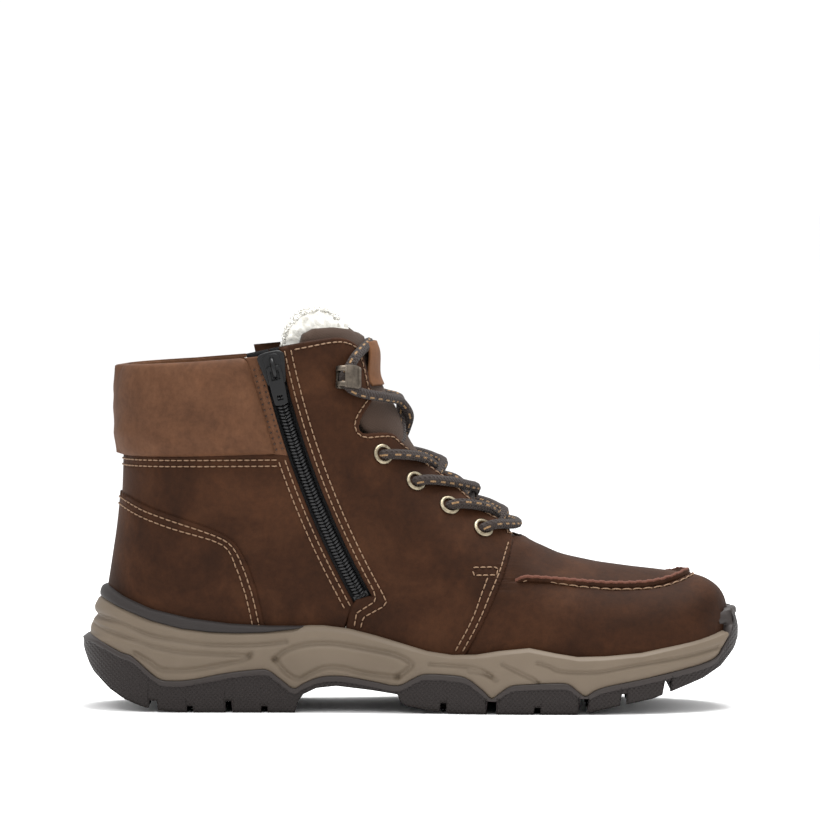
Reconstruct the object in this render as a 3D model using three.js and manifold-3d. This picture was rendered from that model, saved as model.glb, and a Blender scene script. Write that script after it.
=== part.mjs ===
// A left lace-up winter boot with a zip on its inner side. Millimetres: +X to the toe, +Y to the outer side, +Z up.
// Every outline below is drawn in the side view, as [x, z], with x = 0 at the back of the heel and z = 0 on the ground.
import * as THREE from "three";
import { mergeVertices } from "three/addons/utils/BufferGeometryUtils.js";
import Module from "manifold-3d";

const wasm = await Module();
wasm.setup();

// ---- Driving dimensions ----
const SOLE_LENGTH = 302;
const LEATHER = 1.8; // thickness of every leather panel
const GAP = 0.3; // between neighbouring pieces
const LINING = 3.6; // fleece thickness
const BOARD = 2.2; // insole board thickness
const FOOTBED = 5.5;
const SEAM = 0.32; // width of the cut between two panels
const LACE = 4; // lace diameter
const EYELET_BORE = 3.0;
const EYELET_FLANGE = 4.9;
const AROUND = 24; // columns of the upper's surface
const UP = 10; // rows of the upper's surface
const WIDE = 90; // half the width of a cutting prism

// Side-view outlines of the upper, without the sole.
const FRONT_POINTS = [
  [298, -60], [298, -20], [298, 14], [298, 30], [297.5, 44], [294.5, 54], [285, 60.6], [268, 63.2], [252, 65],
  [236, 67.2], [220, 71], [206, 77.4], [195, 87], [185, 96], [172, 106], [161, 115], [152.5, 125], [146, 137],
  [140, 149], [135.5, 160], [131.5, 171], [127, 184], [123, 197], [117, 217], [110, 240],
];
const REAR_POINTS = [
  [11, -60], [11, -20], [11, 14], [10.8, 34], [11, 50], [13.6, 68], [16, 84], [17.4, 98], [18, 112], [18.2, 127],
  [18, 142], [18, 154], [18, 166], [18, 182], [18, 200], [18, 220], [18, 240],
];
// Which height on the heel each height on the front is joined to, so that the rows of the surface never cross.
const ROW_HEIGHTS = [[14, 14], [40, 32], [57, 46], [62, 55], [66, 66], [80, 84], [106, 104], [137, 132], [171, 167], [192, 190]];

// Half widths of the foot along x and of the shaft along z.
const INNER_WIDTH = [[0, 34], [30, 34], [80, 32.5], [115, 33], [150, 37], [195, 42.5], [225, 43.5], [250, 42], [275, 39.5], [300, 37]];
const OUTER_WIDTH = [[0, 34], [30, 34], [80, 34], [115, 36.5], [150, 42], [190, 49], [215, 50], [240, 48.5], [265, 45.5], [300, 41]];
const SHAFT_WIDTH = [[40, 34], [80, 36.5], [120, 38.5], [160, 40.5], [200, 42]];
const TOE_SWING = [[0, 0], [150, 0], [220, -1], [270, -4], [302, -7]]; // the toe turns to the inner side
const ROUNDING = [[0, 42], [60, 50], [150, 52], [200, 50], [250, 46], [300, 44]]; // how far the edges are rounded

// Side-view outlines of the sole.
const FEATHER = [
  [-5, 58], [9, 56.4], [17.5, 52], [31, 47], [50, 42.8], [68, 40.4], [86, 39.4], [111, 39.4], [122, 38], [134, 35],
  [148, 31], [158, 28], [169, 26.4], [180, 26.6], [191, 28.4], [205, 29.8], [217, 27.4], [227, 25.8], [240, 26],
  [257, 27.4], [273, 30.6], [292, 34.6], [294.4, 36], [296, 44], [298, 47.6], [306, 47.6],
];
const RAND_LOW = [[-5, 54], [8, 51.5], [17, 47.6], [32, 42], [46, 38.6], [60, 37], [72, 36.6], [85, 37], [97, 38.4], [106, 39.6]];
const WAVE = [
  [-5, 35], [4, 33.6], [18, 27.2], [24, 25], [35, 15.8], [42, 14.4], [52, 15.2], [66, 17.9], [80, 19.6], [86, 19.3],
  [92.7, 14.4], [97.7, 11], [102, 13.3], [108, 15.8], [114, 16.8], [122, 16.5], [134, 14.4], [145, 12.6], [152, 15.8],
  [157, 17.9], [166, 17.9], [176, 16.6], [184, 10.9], [188, 7.2], [192, 10], [197, 13], [205, 13.8], [218, 14.4],
  [223, 13.8], [227, 10.9], [230.6, 8.4], [235, 10.9], [241, 12.9], [256, 15.8], [273, 19.5], [285, 22.4],
  [291, 25], [293.6, 29], [294.4, 36], [296, 44], [298, 47.6], [299, 60],
];
const TREAD = [
  [-5, 30], [0, 28], [2.5, 21], [5, 17.4], [13, 10], [20, 5.6], [29, 2.2], [37, 0.8], [45, 0], [98, 0], [99.4, 5],
  [102, 8.6], [108, 11.4], [117, 12.4], [133, 10.6], [145, 8.8], [146.5, 5.2], [149, 3.6], [160, 1.4], [176, 0],
  [226, 0], [234, 1.4], [249, 4.6], [261, 7], [268, 9.4], [277, 12.8], [285, 15.8], [293.5, 20.8], [300, 28], [307, 40],
];
const FLOOR = [[-5, 33], [25, 31], [80, 29.5], [115, 27], [150, 22.6], [190, 18.6], [225, 17.6], [262, 20], [285, 24], [310, 29]];
const SOLE_REAR = [[0, 3], [20, 1], [27, 0], [31.5, 0], [34, 2.4], [38, 3.6], [43, 6], [46, 5.4], [51, 7], [60, 9.4]];
const SOLE_FRONT = [[0, 297], [16, 299.6], [28, 301.6], [37, 302], [45, 300.4], [60, 298.4]];
const SOLE_PROUD = [[0, 4.6], [10, 5.8], [30, 6.2], [42, 5], [60, 3.6]]; // how far the sole stands outside the upper
const GROOVES = [[31, 35, 5.4], [66, 69.5, 5.4], [186, 190.5, 6], [228, 232, 7.4], [247, 250, 9.4], [267, 270, 15]]; // [from, to, top]
const NOTCHES = [[50, 1.6, 3], [84, 1.6, 3], [166, 1.6, 5], [209, 1.6, 3.2]]; // [x, half width, top]

// Seams between the upper's panels.
const COLLAR_SEAM = [[0, 117], [18, 117.3], [52, 118], [80, 119.2], [100, 120]];
const HEEL_SEAM = [[0, 101.5], [16, 100.4], [31, 94], [52, 87], [62.5, 83], [70, 78.4], [75, 71], [79, 61], [82, 50], [85, 36], [86, 20]];
const VAMP_SEAM = [[198.6, 84], [198.2, 79], [196.8, 73], [189.5, 53], [177, 30], [170, 14]];
const UNDER_ZIP_SEAM = [[128, 50], [125.4, 46], [123.6, 38], [121, 14]];
// Where the panels end at the top and in front, going from the heel over the top and down the lacing edge.
const TOP_LINE = [[-10, 158.6], [19, 159], [50, 160.4], [75, 162], [83, 164], [92, 167.6], [104, 170], [115, 171.4], [121, 170.8]];
const FACING = [
  [125.6, 168.2], [129, 161.5], [132, 150], [133.4, 143], [131, 138.6], [128.2, 134], [127.4, 130], [129.4, 127.6],
  [136, 127.8], [142.6, 127], [147, 122.6], [159, 112.4], [171, 103.4], [184, 92], [191, 87.4], [196, 82.4],
  [198.3, 79.5],
];

// Lacing.
const EYELETS = [[138, 117.8], [153, 105.2], [168.6, 94], [184, 83.6]];
const HOOK = [120.4, 152.6];

// The pinched seam round the toe, along the inner side, and where it crosses the toe.
const MOC_SEAM = [[198.7, 61], [210, 60.6], [221.3, 59.6], [231, 58.6], [241, 57.8], [250, 57.6], [259.4, 57.8], [266, 58.4], [272, 59.4]];
const MOC_TOP = [281, 61.9];

// Zip: three points of its centre line, which is an arc.
const ZIP_TOP = [87.4, 162.4];
const ZIP_MIDDLE = [104.6, 104.4];
const ZIP_BOTTOM = [129.6, 50.8];
const ZIP_WINDOW = 4.7; // half the gap between the leather edges
const TAPE_WIDE = 11;
const SLIDER_START = 4.5; // from the top of the arc to the slider at rest
const TAPE_LOW = -5.2; // the tapes' inner face, below the plane of the zip's arc
const SLIDER_LOW = 1.4;
const SLIDER_TOP = 2.9;
const PIN_HIGH = 4.9; // the pull's pin

// ---- Curves ----
// A smooth function through [position, value] pairs that never overshoots.
function through(points) {
  const slopes = points.slice(1).map((p, i) => (p[1] - points[i][1]) / (p[0] - points[i][0]));
  const tangents = points.map((_, i) => {
    const before = slopes[Math.max(i - 1, 0)];
    const after = slopes[Math.min(i, slopes.length - 1)];
    return before * after <= 0 ? 0 : (2 * before * after) / (before + after);
  });
  return (at) => {
    const x = Math.min(Math.max(at, points[0][0]), points.at(-1)[0]);
    let i = 0;
    while (i < points.length - 2 && x > points[i + 1][0]) i++;
    const h = points[i + 1][0] - points[i][0];
    const t = (x - points[i][0]) / h;
    const rise = t * t * (3 - 2 * t);
    const start = t * (1 - t) * (1 - t) * h * tangents[i];
    const end = t * t * (t - 1) * h * tangents[i + 1];
    return points[i][1] * (1 - rise) + points[i + 1][1] * rise + start + end;
  };
}

// A side-view line of [x, z] points, rounded, as many short steps.
function rounded(points, steps) {
  const curve = new THREE.SplineCurve(points.map(([x, z]) => new THREE.Vector2(x, z)));
  return curve.getPoints(steps * (points.length - 1)).map((p) => [p.x, p.y]);
}

// The x at which a side-view line that only rises reaches height z.
function crossing(line, z) {
  let i = 0;
  while (i < line.length - 2 && line[i + 1][1] < z) i++;
  const t = (z - line[i][1]) / (line[i + 1][1] - line[i][1]);
  return line[i][0] + t * (line[i + 1][0] - line[i][0]);
}

const mix = (a, b, t) => a + (b - a) * t;
const fade = (from, to, x) => THREE.MathUtils.smoothstep(x, from, to);

// ---- The upper's surface ----
const frontLine = rounded(FRONT_POINTS, 4);
const rearLine = rounded(REAR_POINTS, 3);
const innerWidth = through(INNER_WIDTH);
const outerWidth = through(OUTER_WIDTH);
const shaftWidth = through(SHAFT_WIDTH);
const toeSwing = through(TOE_SWING);
const rounding = through(ROUNDING);
const rowHeight = through(ROW_HEIGHTS);

// How far a side-view point is from the front and rear lines, blended so that it has no crease anywhere inside.
function softDistance(x, z) {
  let sum = 0;
  for (const line of [frontLine, rearLine])
    for (let i = 0; i < line.length - 1; i++) {
      const [ax, az] = line[i];
      const dx = line[i + 1][0] - ax;
      const dz = line[i + 1][1] - az;
      const long = Math.hypot(dx, dz);
      const away = Math.max(0.02, Math.abs((x - ax) * dz - (z - az) * dx) / long);
      const along = ((x - ax) * dx + (z - az) * dz) / long;
      for (const [s, sign] of [[long - along, 1], [-along, -1]])
        sum += (sign * (s / (s * s + away * away) + Math.atan2(s, away) / away)) / (2 * away * away);
    }
  return Math.cbrt(Math.PI / 2 / sum);
}

function halfWidth(x, z, side) {
  const foot = side < 0 ? innerWidth(x) : outerWidth(x);
  const full = mix(foot, shaftWidth(z), fade(45, 115, z) * (1 - fade(150, 200, x)));
  const share = Math.min(1, softDistance(x, z) / rounding(x));
  return full * Math.sqrt(1 - Math.pow(1 - share, 2.5));
}

// Rows are spread by the length of the front line between the first and last row heights.
const frontPart = frontLine.filter(([, z]) => z >= ROW_HEIGHTS[0][0] && z <= ROW_HEIGHTS.at(-1)[0]);
const frontLengths = [0];
frontPart.slice(1).forEach(([x, z], i) => frontLengths.push(frontLengths[i] + Math.hypot(x - frontPart[i][0], z - frontPart[i][1])));

// The front height of row v, from 0 at the bottom to 1 at the top.
function frontHeight(v) {
  const s = v * frontLengths.at(-1);
  let i = 0;
  while (i < frontLengths.length - 2 && frontLengths[i + 1] < s) i++;
  return mix(frontPart[i][1], frontPart[i + 1][1], (s - frontLengths[i]) / (frontLengths[i + 1] - frontLengths[i]));
}

// A point of the surface: u runs 0 to 1 from heel to toe on the inner side and 1 to 2 back on the outer side.
function surface(u, v) {
  const high = frontHeight(v);
  const low = rowHeight(high);
  const t = (1 - Math.cos(Math.PI * u)) / 2;
  const x = mix(crossing(rearLine, low), crossing(frontLine, high), t);
  const z = mix(low, high, t);
  const turn = ((u % 2) + 2) % 2;
  const side = turn <= 1 ? -1 : 1;
  const edge = Math.min(turn, 2 - turn, Math.abs(turn - 1)) < 1e-9;
  return new THREE.Vector3(x, toeSwing(x) + (edge ? 0 : side * halfWidth(x, z, side)), z);
}

function surfaceNormal(u, v) {
  const step = 0.004;
  const across = surface(u + step, v).sub(surface(u - step, v));
  const along = surface(u, Math.min(v + step, 1)).sub(surface(u, Math.max(v - step, 0)));
  return across.cross(along).normalize();
}

// The point and outward normal on the surface over a side-view point.
function over(x, z, side) {
  const at = (px, pz) => new THREE.Vector3(px, toeSwing(px) + side * halfWidth(px, pz, side), pz);
  const along = at(x + 0.5, z).sub(at(x - 0.5, z));
  const up = at(x, z + 0.5).sub(at(x, z - 0.5));
  const normal = along.cross(up).multiplyScalar(-side).normalize();
  return { point: at(x, z), normal };
}

// The surface's points and normals on its grid, made once.
const grid = [];
for (let j = 0; j <= UP; j++)
  for (let i = 0; i < AROUND; i++) {
    const u = (2 * i) / AROUND;
    grid.push({ point: surface(u, j / UP), normal: surfaceNormal(u, j / UP) });
  }
const offsetPoint = (i, j, off) => {
  const { point, normal } = grid[j * AROUND + (i % AROUND)];
  const depth = typeof off === "function" ? off(point) : off;
  return point.clone().addScaledVector(normal, depth);
};

// ---- Solids ----
function toSolid(geometry) {
  const bare = geometry.clone();
  for (const name of Object.keys(bare.attributes)) if (name !== "position") bare.deleteAttribute(name);
  const merged = mergeVertices(bare, 1e-4);
  return new wasm.Manifold(
    new wasm.Mesh({
      numProp: 3,
      vertProperties: new Float32Array(merged.attributes.position.array),
      triVerts: new Uint32Array(merged.index.array),
    }),
  );
}

function toGeometry(solid) {
  const mesh = solid.getMesh();
  const positions = new Float32Array(mesh.numVert * 3);
  for (let i = 0; i < mesh.numVert; i++)
    positions.set(mesh.vertProperties.subarray(i * mesh.numProp, i * mesh.numProp + 3), i * 3);
  const geometry = new THREE.BufferGeometry();
  geometry.setAttribute("position", new THREE.BufferAttribute(positions, 3));
  geometry.setIndex(new THREE.BufferAttribute(mesh.triVerts, 1));
  geometry.computeVertexNormals();
  return geometry;
}

function solidFromFaces(points, faces) {
  const geometry = new THREE.BufferGeometry();
  geometry.setAttribute("position", new THREE.Float32BufferAttribute(points.flatMap((p) => p.toArray()), 3));
  geometry.setIndex(faces.flatMap((f) => (f.length === 4 ? [f[0], f[1], f[2], f[0], f[2], f[3]] : f)));
  return toSolid(geometry);
}

// The layer of the upper between two offsets from its surface.
function layer(inner, outer) {
  const points = [];
  const faces = [];
  const rows = UP + 1;
  for (const off of [outer, inner])
    for (let j = 0; j < rows; j++) for (let i = 0; i < AROUND; i++) points.push(offsetPoint(i, j, off));
  const id = (face, i, j) => face * rows * AROUND + j * AROUND + (i % AROUND);
  for (let i = 0; i < AROUND; i++) {
    for (let j = 0; j < UP; j++) {
      faces.push([id(0, i, j), id(0, i + 1, j), id(0, i + 1, j + 1), id(0, i, j + 1)]);
      faces.push([id(1, i, j), id(1, i, j + 1), id(1, i + 1, j + 1), id(1, i + 1, j)]);
    }
    faces.push([id(0, i, 0), id(1, i, 0), id(1, i + 1, 0), id(0, i + 1, 0)]);
    faces.push([id(0, i, UP), id(0, i + 1, UP), id(1, i + 1, UP), id(1, i, UP)]);
  }
  return solidFromFaces(points, faces);
}

// A stack of rings closed by flat lids; ring(j) gives its points, evenly from the heel round and back to it.
function stack(rings) {
  const around = rings[0].length;
  const faces = [];
  const id = (i, j) => j * around + (i % around);
  for (let j = 0; j < rings.length - 1; j++)
    for (let i = 0; i < around; i++) faces.push([id(i, j), id(i + 1, j), id(i + 1, j + 1), id(i, j + 1)]);
  for (let i = 0; i < around / 2; i++) {
    const other = (k) => (around - k) % around;
    for (const [j, turn] of [[0, false], [rings.length - 1, true]]) {
      const corners = [id(i, j), id(other(i), j), id(other(i + 1), j), id(i + 1, j)];
      const flat = corners.filter((c, k) => corners.indexOf(c) === k);
      faces.push(turn ? flat.reverse() : flat);
    }
  }
  return solidFromFaces(rings.flat(), faces);
}

// The whole inside of the upper's surface at one offset.
function filled(off) {
  const rings = [];
  for (let j = 0; j <= UP; j++) rings.push(Array.from({ length: AROUND }, (_, i) => offsetPoint(i, j, off)));
  return stack(rings);
}

// A side-view outline pushed through the boot from y = from to y = to.
function prism(outline, from = -WIDE, to = WIDE) {
  const shape = new THREE.Shape(outline.map(([x, z]) => new THREE.Vector2(x, z)));
  const geometry = new THREE.ExtrudeGeometry(shape, { depth: to - from, bevelEnabled: false });
  geometry.rotateX(Math.PI / 2);
  geometry.translate(0, to, 0);
  return toSolid(geometry);
}

// The outline of a cut of that width along a side-view line.
function ribbon(line, width) {
  const sides = [[], []];
  line.forEach(([x, z], i) => {
    const [ax, az] = line[Math.max(i - 1, 0)];
    const [bx, bz] = line[Math.min(i + 1, line.length - 1)];
    const long = Math.hypot(bx - ax, bz - az);
    const nx = ((az - bz) / long) * (width / 2);
    const nz = ((bx - ax) / long) * (width / 2);
    sides[0].push([x - nx, z - nz]);
    sides[1].unshift([x + nx, z + nz]);
  });
  return sides.flat();
}

const below = (line, depth = -40) => [...line, [line.at(-1)[0], depth], [line[0][0], depth]];
const above = (line, height = 260) => [...line, [line.at(-1)[0], height], [line[0][0], height]];
const shifted = (line, dz) => line.map(([x, z]) => [x, z + dz]);

function box(size, centre) {
  const geometry = new THREE.BoxGeometry(...size);
  geometry.translate(...centre);
  return toSolid(geometry);
}

// The piece of a cut-up solid that holds a point.
function pieceAt(pieces, x, z, side, depth = -LEATHER / 2) {
  const { point, normal } = over(x, z, side);
  const spot = point.addScaledVector(normal, depth).toArray();
  const found = pieces.filter((p) => p.intersect(box([1, 1, 1], spot)).volume() > 0.05);
  if (!found.length) throw new Error(`no panel at ${x}, ${z}, ${side}`);
  return found.sort((a, b) => b.volume() - a.volume())[0];
}

// ---- Materials ----
const material = (color, roughness, metalness = 0) => new THREE.MeshStandardMaterial({ color, roughness, metalness });
const MATERIALS = {
  leather: material(0x5b3520, 0.75),
  collar: material(0x7c5338, 0.75),
  label: material(0x8a5b3c, 0.7),
  softshell: material(0x544640, 0.8),
  fleece: material(0xece8dc, 0.95),
  foam: material(0xd8d2c0, 0.9),
  midsole: material(0x8b7963, 0.7),
  outsole: material(0x3d3330, 0.8),
  rand: material(0x554d4c, 0.7),
  board: material(0xb9a789, 0.9),
  steel: material(0x9a9ca0, 0.4, 1),
  stiffener: material(0xcfc8b8, 0.8),
  brass: material(0xa99f84, 0.35, 1),
  gunmetal: material(0x6f6a62, 0.4, 1),
  zip: material(0x17181a, 0.45),
  tape: material(0x1b1b1d, 0.85),
  lace: material(0x4a403b, 0.85),
};

const boot = new THREE.Group();
function add(name, solid, look) {
  const mesh = new THREE.Mesh(solid instanceof THREE.BufferGeometry ? solid : toGeometry(solid), MATERIALS[look]);
  mesh.name = name;
  boot.add(mesh);
  return mesh;
}

// ---- Zip frame: an arc in a plane through three points of the inner side ----
function zipFrame() {
  const [a, b, c] = [ZIP_TOP, ZIP_MIDDLE, ZIP_BOTTOM].map(([x, z]) => over(x, z, -1).point);
  const toB = b.clone().sub(a);
  const toC = c.clone().sub(a);
  const out = toC.clone().cross(toB).normalize();
  if (out.y > 0) out.negate();
  const flat = toB.clone().cross(toC);
  const centre = a
    .clone()
    .add(
      flat
        .clone()
        .cross(toB)
        .multiplyScalar(toC.lengthSq())
        .add(toC.clone().cross(flat).multiplyScalar(toB.lengthSq()))
        .divideScalar(2 * flat.lengthSq()),
    );
  const radius = a.distanceTo(centre);
  const start = a.clone().sub(centre).normalize();
  const end = c.clone().sub(centre).normalize();
  const length = start.angleTo(end) * radius;
  const turn = start.clone().cross(end).normalize();
  // The point at a distance along the arc from its top, a distance to the heel side, and a height outwards.
  const place = (along, across, height) => {
    const radial = start.clone().applyAxisAngle(turn, along / radius);
    return centre.clone().addScaledVector(radial, radius + across).addScaledVector(out, height);
  };
  return { out, centre, radius, length, turn, place };
}
const zip = zipFrame();

// A strip that follows the zip's arc, from one distance along it to another.
function zipStrip(from, to, across0, across1, height0, height1, steps) {
  const points = [];
  const faces = [];
  for (let k = 0; k <= steps; k++) {
    const along = mix(from, to, k / steps);
    for (const [a, h] of [[across0, height0], [across1, height0], [across1, height1], [across0, height1]])
      points.push(zip.place(along, a, h));
    if (k < steps)
      for (let c = 0; c < 4; c++) {
        const d = (c + 1) % 4;
        faces.push([4 * k + c, 4 * k + d, 4 * k + 4 + d, 4 * k + 4 + c]);
      }
  }
  faces.push([3, 2, 1, 0], [4 * steps, 4 * steps + 1, 4 * steps + 2, 4 * steps + 3]);
  const made = solidFromFaces(points, faces);
  return made.volume() > 0 ? made : solidFromFaces(points, faces.map((f) => [...f].reverse()));
}

// ---- Sole ----
function soleBlock() {
  const rear = through(SOLE_REAR);
  const front = through(SOLE_FRONT);
  const proud = through(SOLE_PROUD);
  const around = 32;
  const rings = [-6, 6, 18, 28, 32, 36, 44, 52, 62].map((z) =>
    Array.from({ length: around }, (_, i) => {
      const u = (2 * i) / around;
      const side = u <= 1 ? -1 : 1;
      const t = (1 - Math.cos(Math.PI * u)) / 2;
      const x = mix(rear(z), front(z), t);
      const foot = (side < 0 ? innerWidth(x) : outerWidth(x)) + proud(z);
      const blunt = mix(7.4, 5.6, t);
      const end = i === 0 || 2 * i === around;
      const share = end ? 0 : Math.sqrt(Math.max(0, 1 - Math.pow(Math.abs(2 * t - 1), blunt)));
      return new THREE.Vector3(x, toeSwing(x) + side * foot * share, z);
    }),
  );
  return stack(rings);
}

const featherLine = FEATHER;
const floorLine = rounded(FLOOR, 2);
const insideUpper = filled(GAP);
const cup = insideUpper.intersect(prism(above(floorLine)));
const block = soleBlock().subtract(prism(above(featherLine))).subtract(cup);

function makeOutsole() {
  let rubber = block.intersect(prism([...WAVE, [310, 60], [310, -40], [-5, -40]]));
  rubber = rubber.subtract(prism(below(TREAD)));
  for (const [from, to, top] of GROOVES) rubber = rubber.subtract(prism([[from, -9], [to, -9], [to, top], [from, top]]));
  for (const [x, half, top] of NOTCHES)
    for (const [y0, y1] of [[-WIDE, -24], [26, WIDE]])
      rubber = rubber.subtract(prism([[x - half, -9], [x + half, -9], [x + half, top], [x - half, top]], y0, y1));
  const channel = box([76, 7, 8.4], [206, 0, 0]);
  return rubber.subtract(channel).subtract(box([60, 7, 8.4], [62, 0, 0]));
}

const randShape = [...RAND_LOW, ...FEATHER.filter(([x]) => x < 106).reverse()];
const largest = (solid) => solid.decompose().sort((a, b) => b.volume() - a.volume())[0];
add("outsole", largest(makeOutsole()), "outsole");
const shankPlace = [104, 1, 0];
function makeMidsole() {
  let foam = block.subtract(prism([...shifted(WAVE, GAP).map(([x, z]) => [x > 290 ? x - GAP : x, z]), [310, 90], [310, -40], [-5, -40]]));
  foam = foam.subtract(prism(shifted(randShape.filter(([, z]) => z < 90), 0).map(([x, z], i) => (i < RAND_LOW.length ? [x, z - GAP] : [x, z + 4]))));
  const seat = prism([[70, 26], [138, 21], [138, 60], [70, 60]], -8.4, 10.4).intersect(prism(above(shifted(floorLine, -2))));
  return largest(foam.subtract(seat));
}
add("midsole", makeMidsole(), "midsole");
add("heel_rand", largest(block.intersect(prism(randShape)).subtract(prism([[103, 0], [140, 0], [140, 80], [103, 80]]))), "rand");
const shankShape = prism([[71, -20], [137, -20], [137, 70], [71, 70]], -7.4, 9.4);
add("steel_shank", shankShape.intersect(prism([...shifted(floorLine, -1.6), ...shifted(floorLine, -GAP).reverse()])), "steel");

// ---- Upper panels ----
const facingLine = rounded(FACING, 2);
const trim = [...TOP_LINE, ...facingLine, [230, 79.5], [330, 100], [330, 260], [-10, 260]];
let shell = layer(-LEATHER, 0).subtract(prism(below(shifted(floorLine, GAP)))).subtract(prism(trim));
for (const side of [-1, 1])
  for (const [x, z] of EYELETS) {
    const { point, normal } = over(x, z, side);
    for (const [radius, long, centre] of [[EYELET_BORE + 0.85, 9, 0], [EYELET_FLANGE + 0.3, 4, 1.7]]) {
      const bore = new THREE.CylinderGeometry(radius, radius, long, 10).translate(0, centre, 0);
      bore.applyQuaternion(new THREE.Quaternion().setFromUnitVectors(new THREE.Vector3(0, 1, 0), normal));
      shell = shell.subtract(toSolid(bore.translate(...point.toArray())));
    }
  }
const zipLine = Array.from({ length: 15 }, (_, k) => zip.place((zip.length * k) / 14, 0, 0)).map((p) => [p.x, p.z]);
const seams = [COLLAR_SEAM, rounded(HEEL_SEAM, 2), rounded(VAMP_SEAM, 2)];
for (const line of seams) shell = shell.subtract(prism(ribbon(line, SEAM)));
const lowerSeam = [zipLine.at(-1), ...UNDER_ZIP_SEAM.slice(1)];
shell = shell.subtract(prism(ribbon([[84, 176], ...zipLine, ...UNDER_ZIP_SEAM.slice(1)], SEAM), 2, WIDE));
shell = shell.subtract(prism(ribbon(lowerSeam, SEAM), -WIDE, -2));
shell = shell.subtract(zipStrip(-14, 47, ZIP_WINDOW + 8, ZIP_WINDOW + 8 + SEAM, -16, 16, 6));
shell = shell.subtract(zipStrip(-14, zip.length, -ZIP_WINDOW, ZIP_WINDOW, -16, 16, 14));
const panels = shell.decompose().filter((p) => p.volume() > 30);

// A raised strip that follows the surface through side-view points, from the inner side over the toe to the outer side.
function ridge(points, top, width, height) {
  const path = points.map(([x, z]) => over(x, z, -1));
  path.push({ point: new THREE.Vector3(top[0], toeSwing(top[0]), top[1]), normal: new THREE.Vector3(0.6, 0, 0.8) });
  path.push(...[...points].reverse().map(([x, z]) => over(x, z, 1)));
  const corners = [];
  const faces = [];
  path.forEach(({ point, normal }, k) => {
    const ahead = path[Math.min(k + 1, path.length - 1)].point.clone().sub(path[Math.max(k - 1, 0)].point);
    const across = normal.clone().cross(ahead).normalize();
    for (const [a, h] of [[-1, -0.9], [1, -0.9], [1, height], [-1, height]])
      corners.push(point.clone().addScaledVector(across, (a * width) / 2).addScaledVector(normal, h));
    if (k < path.length - 1)
      for (let c = 0; c < 4; c++) {
        const d = (c + 1) % 4;
        faces.push([4 * k + d, 4 * k + c, 4 * k + 4 + c, 4 * k + 4 + d]);
      }
  });
  const last = corners.length - 4;
  faces.push([0, 1, 2, 3], [last + 3, last + 2, last + 1, last]);
  const made = solidFromFaces(corners, faces);
  return made.volume() > 0 ? made : solidFromFaces(corners, faces.map((f) => [...f].reverse()));
}

// ---- Lace ----
// The surface coordinates of a side-view point: the row it lies on, and how far along that row.
function coordinates(x, z) {
  let low = 0;
  let high = 1;
  const ends = (v) => {
    const front = frontHeight(v);
    const rear = rowHeight(front);
    return [crossing(rearLine, rear), rear, crossing(frontLine, front), front];
  };
  for (let k = 0; k < 40; k++) {
    const v = (low + high) / 2;
    const [ax, az, bx, bz] = ends(v);
    if (az + ((x - ax) / (bx - ax)) * (bz - az) < z) low = v;
    else high = v;
  }
  const [ax, , bx] = ends(low);
  return [Math.acos(Math.max(-1, 1 - (2 * (x - ax)) / (bx - ax))) / Math.PI, low];
}

// A point of the lace: side -1 is the inner side, spread is 0 at the middle of the throat and 1 at the eyelets.
function laced(side, spread, [u, v], height) {
  const turn = side < 0 ? 1 - (1 - u) * spread : 1 + (1 - u) * spread;
  return surface(turn, v).addScaledVector(surfaceNormal(turn, v), height);
}

const eyeletSpots = EYELETS.map(([x, z]) => coordinates(x, z));
const hookSpot = coordinates(...HOOK);
const between = (a, b, t) => [mix(a[0], b[0], t), mix(a[1], b[1], t)];

const UNDER = -LEATHER - GAP - LACE / 2 - 0.25;
const OVER_CROSSING = LACE / 2 - 0.2;
const UNDER_CROSSING = OVER_CROSSING - LACE - 0.45;

// One crossing, from inside an eyelet under its own edge, over the throat and into the next eyelet from outside.
function cross(side, from, to, middle) {
  return [
    laced(side, 1, from, 0),
    laced(side, 0.9, between(from, to, 0.05), UNDER),
    laced(side, 0.6, between(from, to, 0.2), UNDER),
    laced(side, 0.3, between(from, to, 0.38), mix(middle, UNDER, 0.6)),
    laced(side, 0, between(from, to, 0.5), middle),
    laced(-side, 0.28, between(from, to, 0.62), mix(LACE * 0.5, middle, 0.55)),
    laced(-side, 0.6, between(from, to, 0.76), LACE * 0.64),
    laced(-side, 0.92, between(from, to, 0.94), LACE * 0.72),
  ];
}

// One end of the lace, from the bottom bar up to the hook, starting on one side.
function half(side, middle) {
  const path = [laced(side, 0.4, eyeletSpots[3], LACE * 0.58), laced(side, 0.88, eyeletSpots[3], LACE * 0.72)];
  let from = side;
  for (let k = 3; k > 0; k--) {
    path.push(...cross(from, eyeletSpots[k], eyeletSpots[k - 1], middle));
    from = -from;
  }
  path.push(
    laced(from, 1, eyeletSpots[0], 0),
    laced(from, 0.9, coordinates(137.4, 119.5), UNDER),
    laced(from, 0.6, coordinates(142, 124), UNDER),
    laced(from, 0.3, coordinates(145.4, 129), mix(middle, UNDER, 0.4)),
    laced(from, 0, coordinates(148, 134), middle + 1.2),
    laced(-from, 0.4, coordinates(143.4, 140), LACE * 0.55),
    laced(-from, 0.8, coordinates(135, 142.6), LACE * 0.62),
    laced(-from, 1, coordinates(126, 146), LACE * 0.72),
    laced(-from, 1, coordinates(119, 148.4), LACE * 0.8),
    laced(-from, 1, coordinates(115.6, 152.6), LACE * 0.82),
    laced(-from, 1, coordinates(119, 156.8), LACE * 0.8),
  );
  return path;
}
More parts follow.
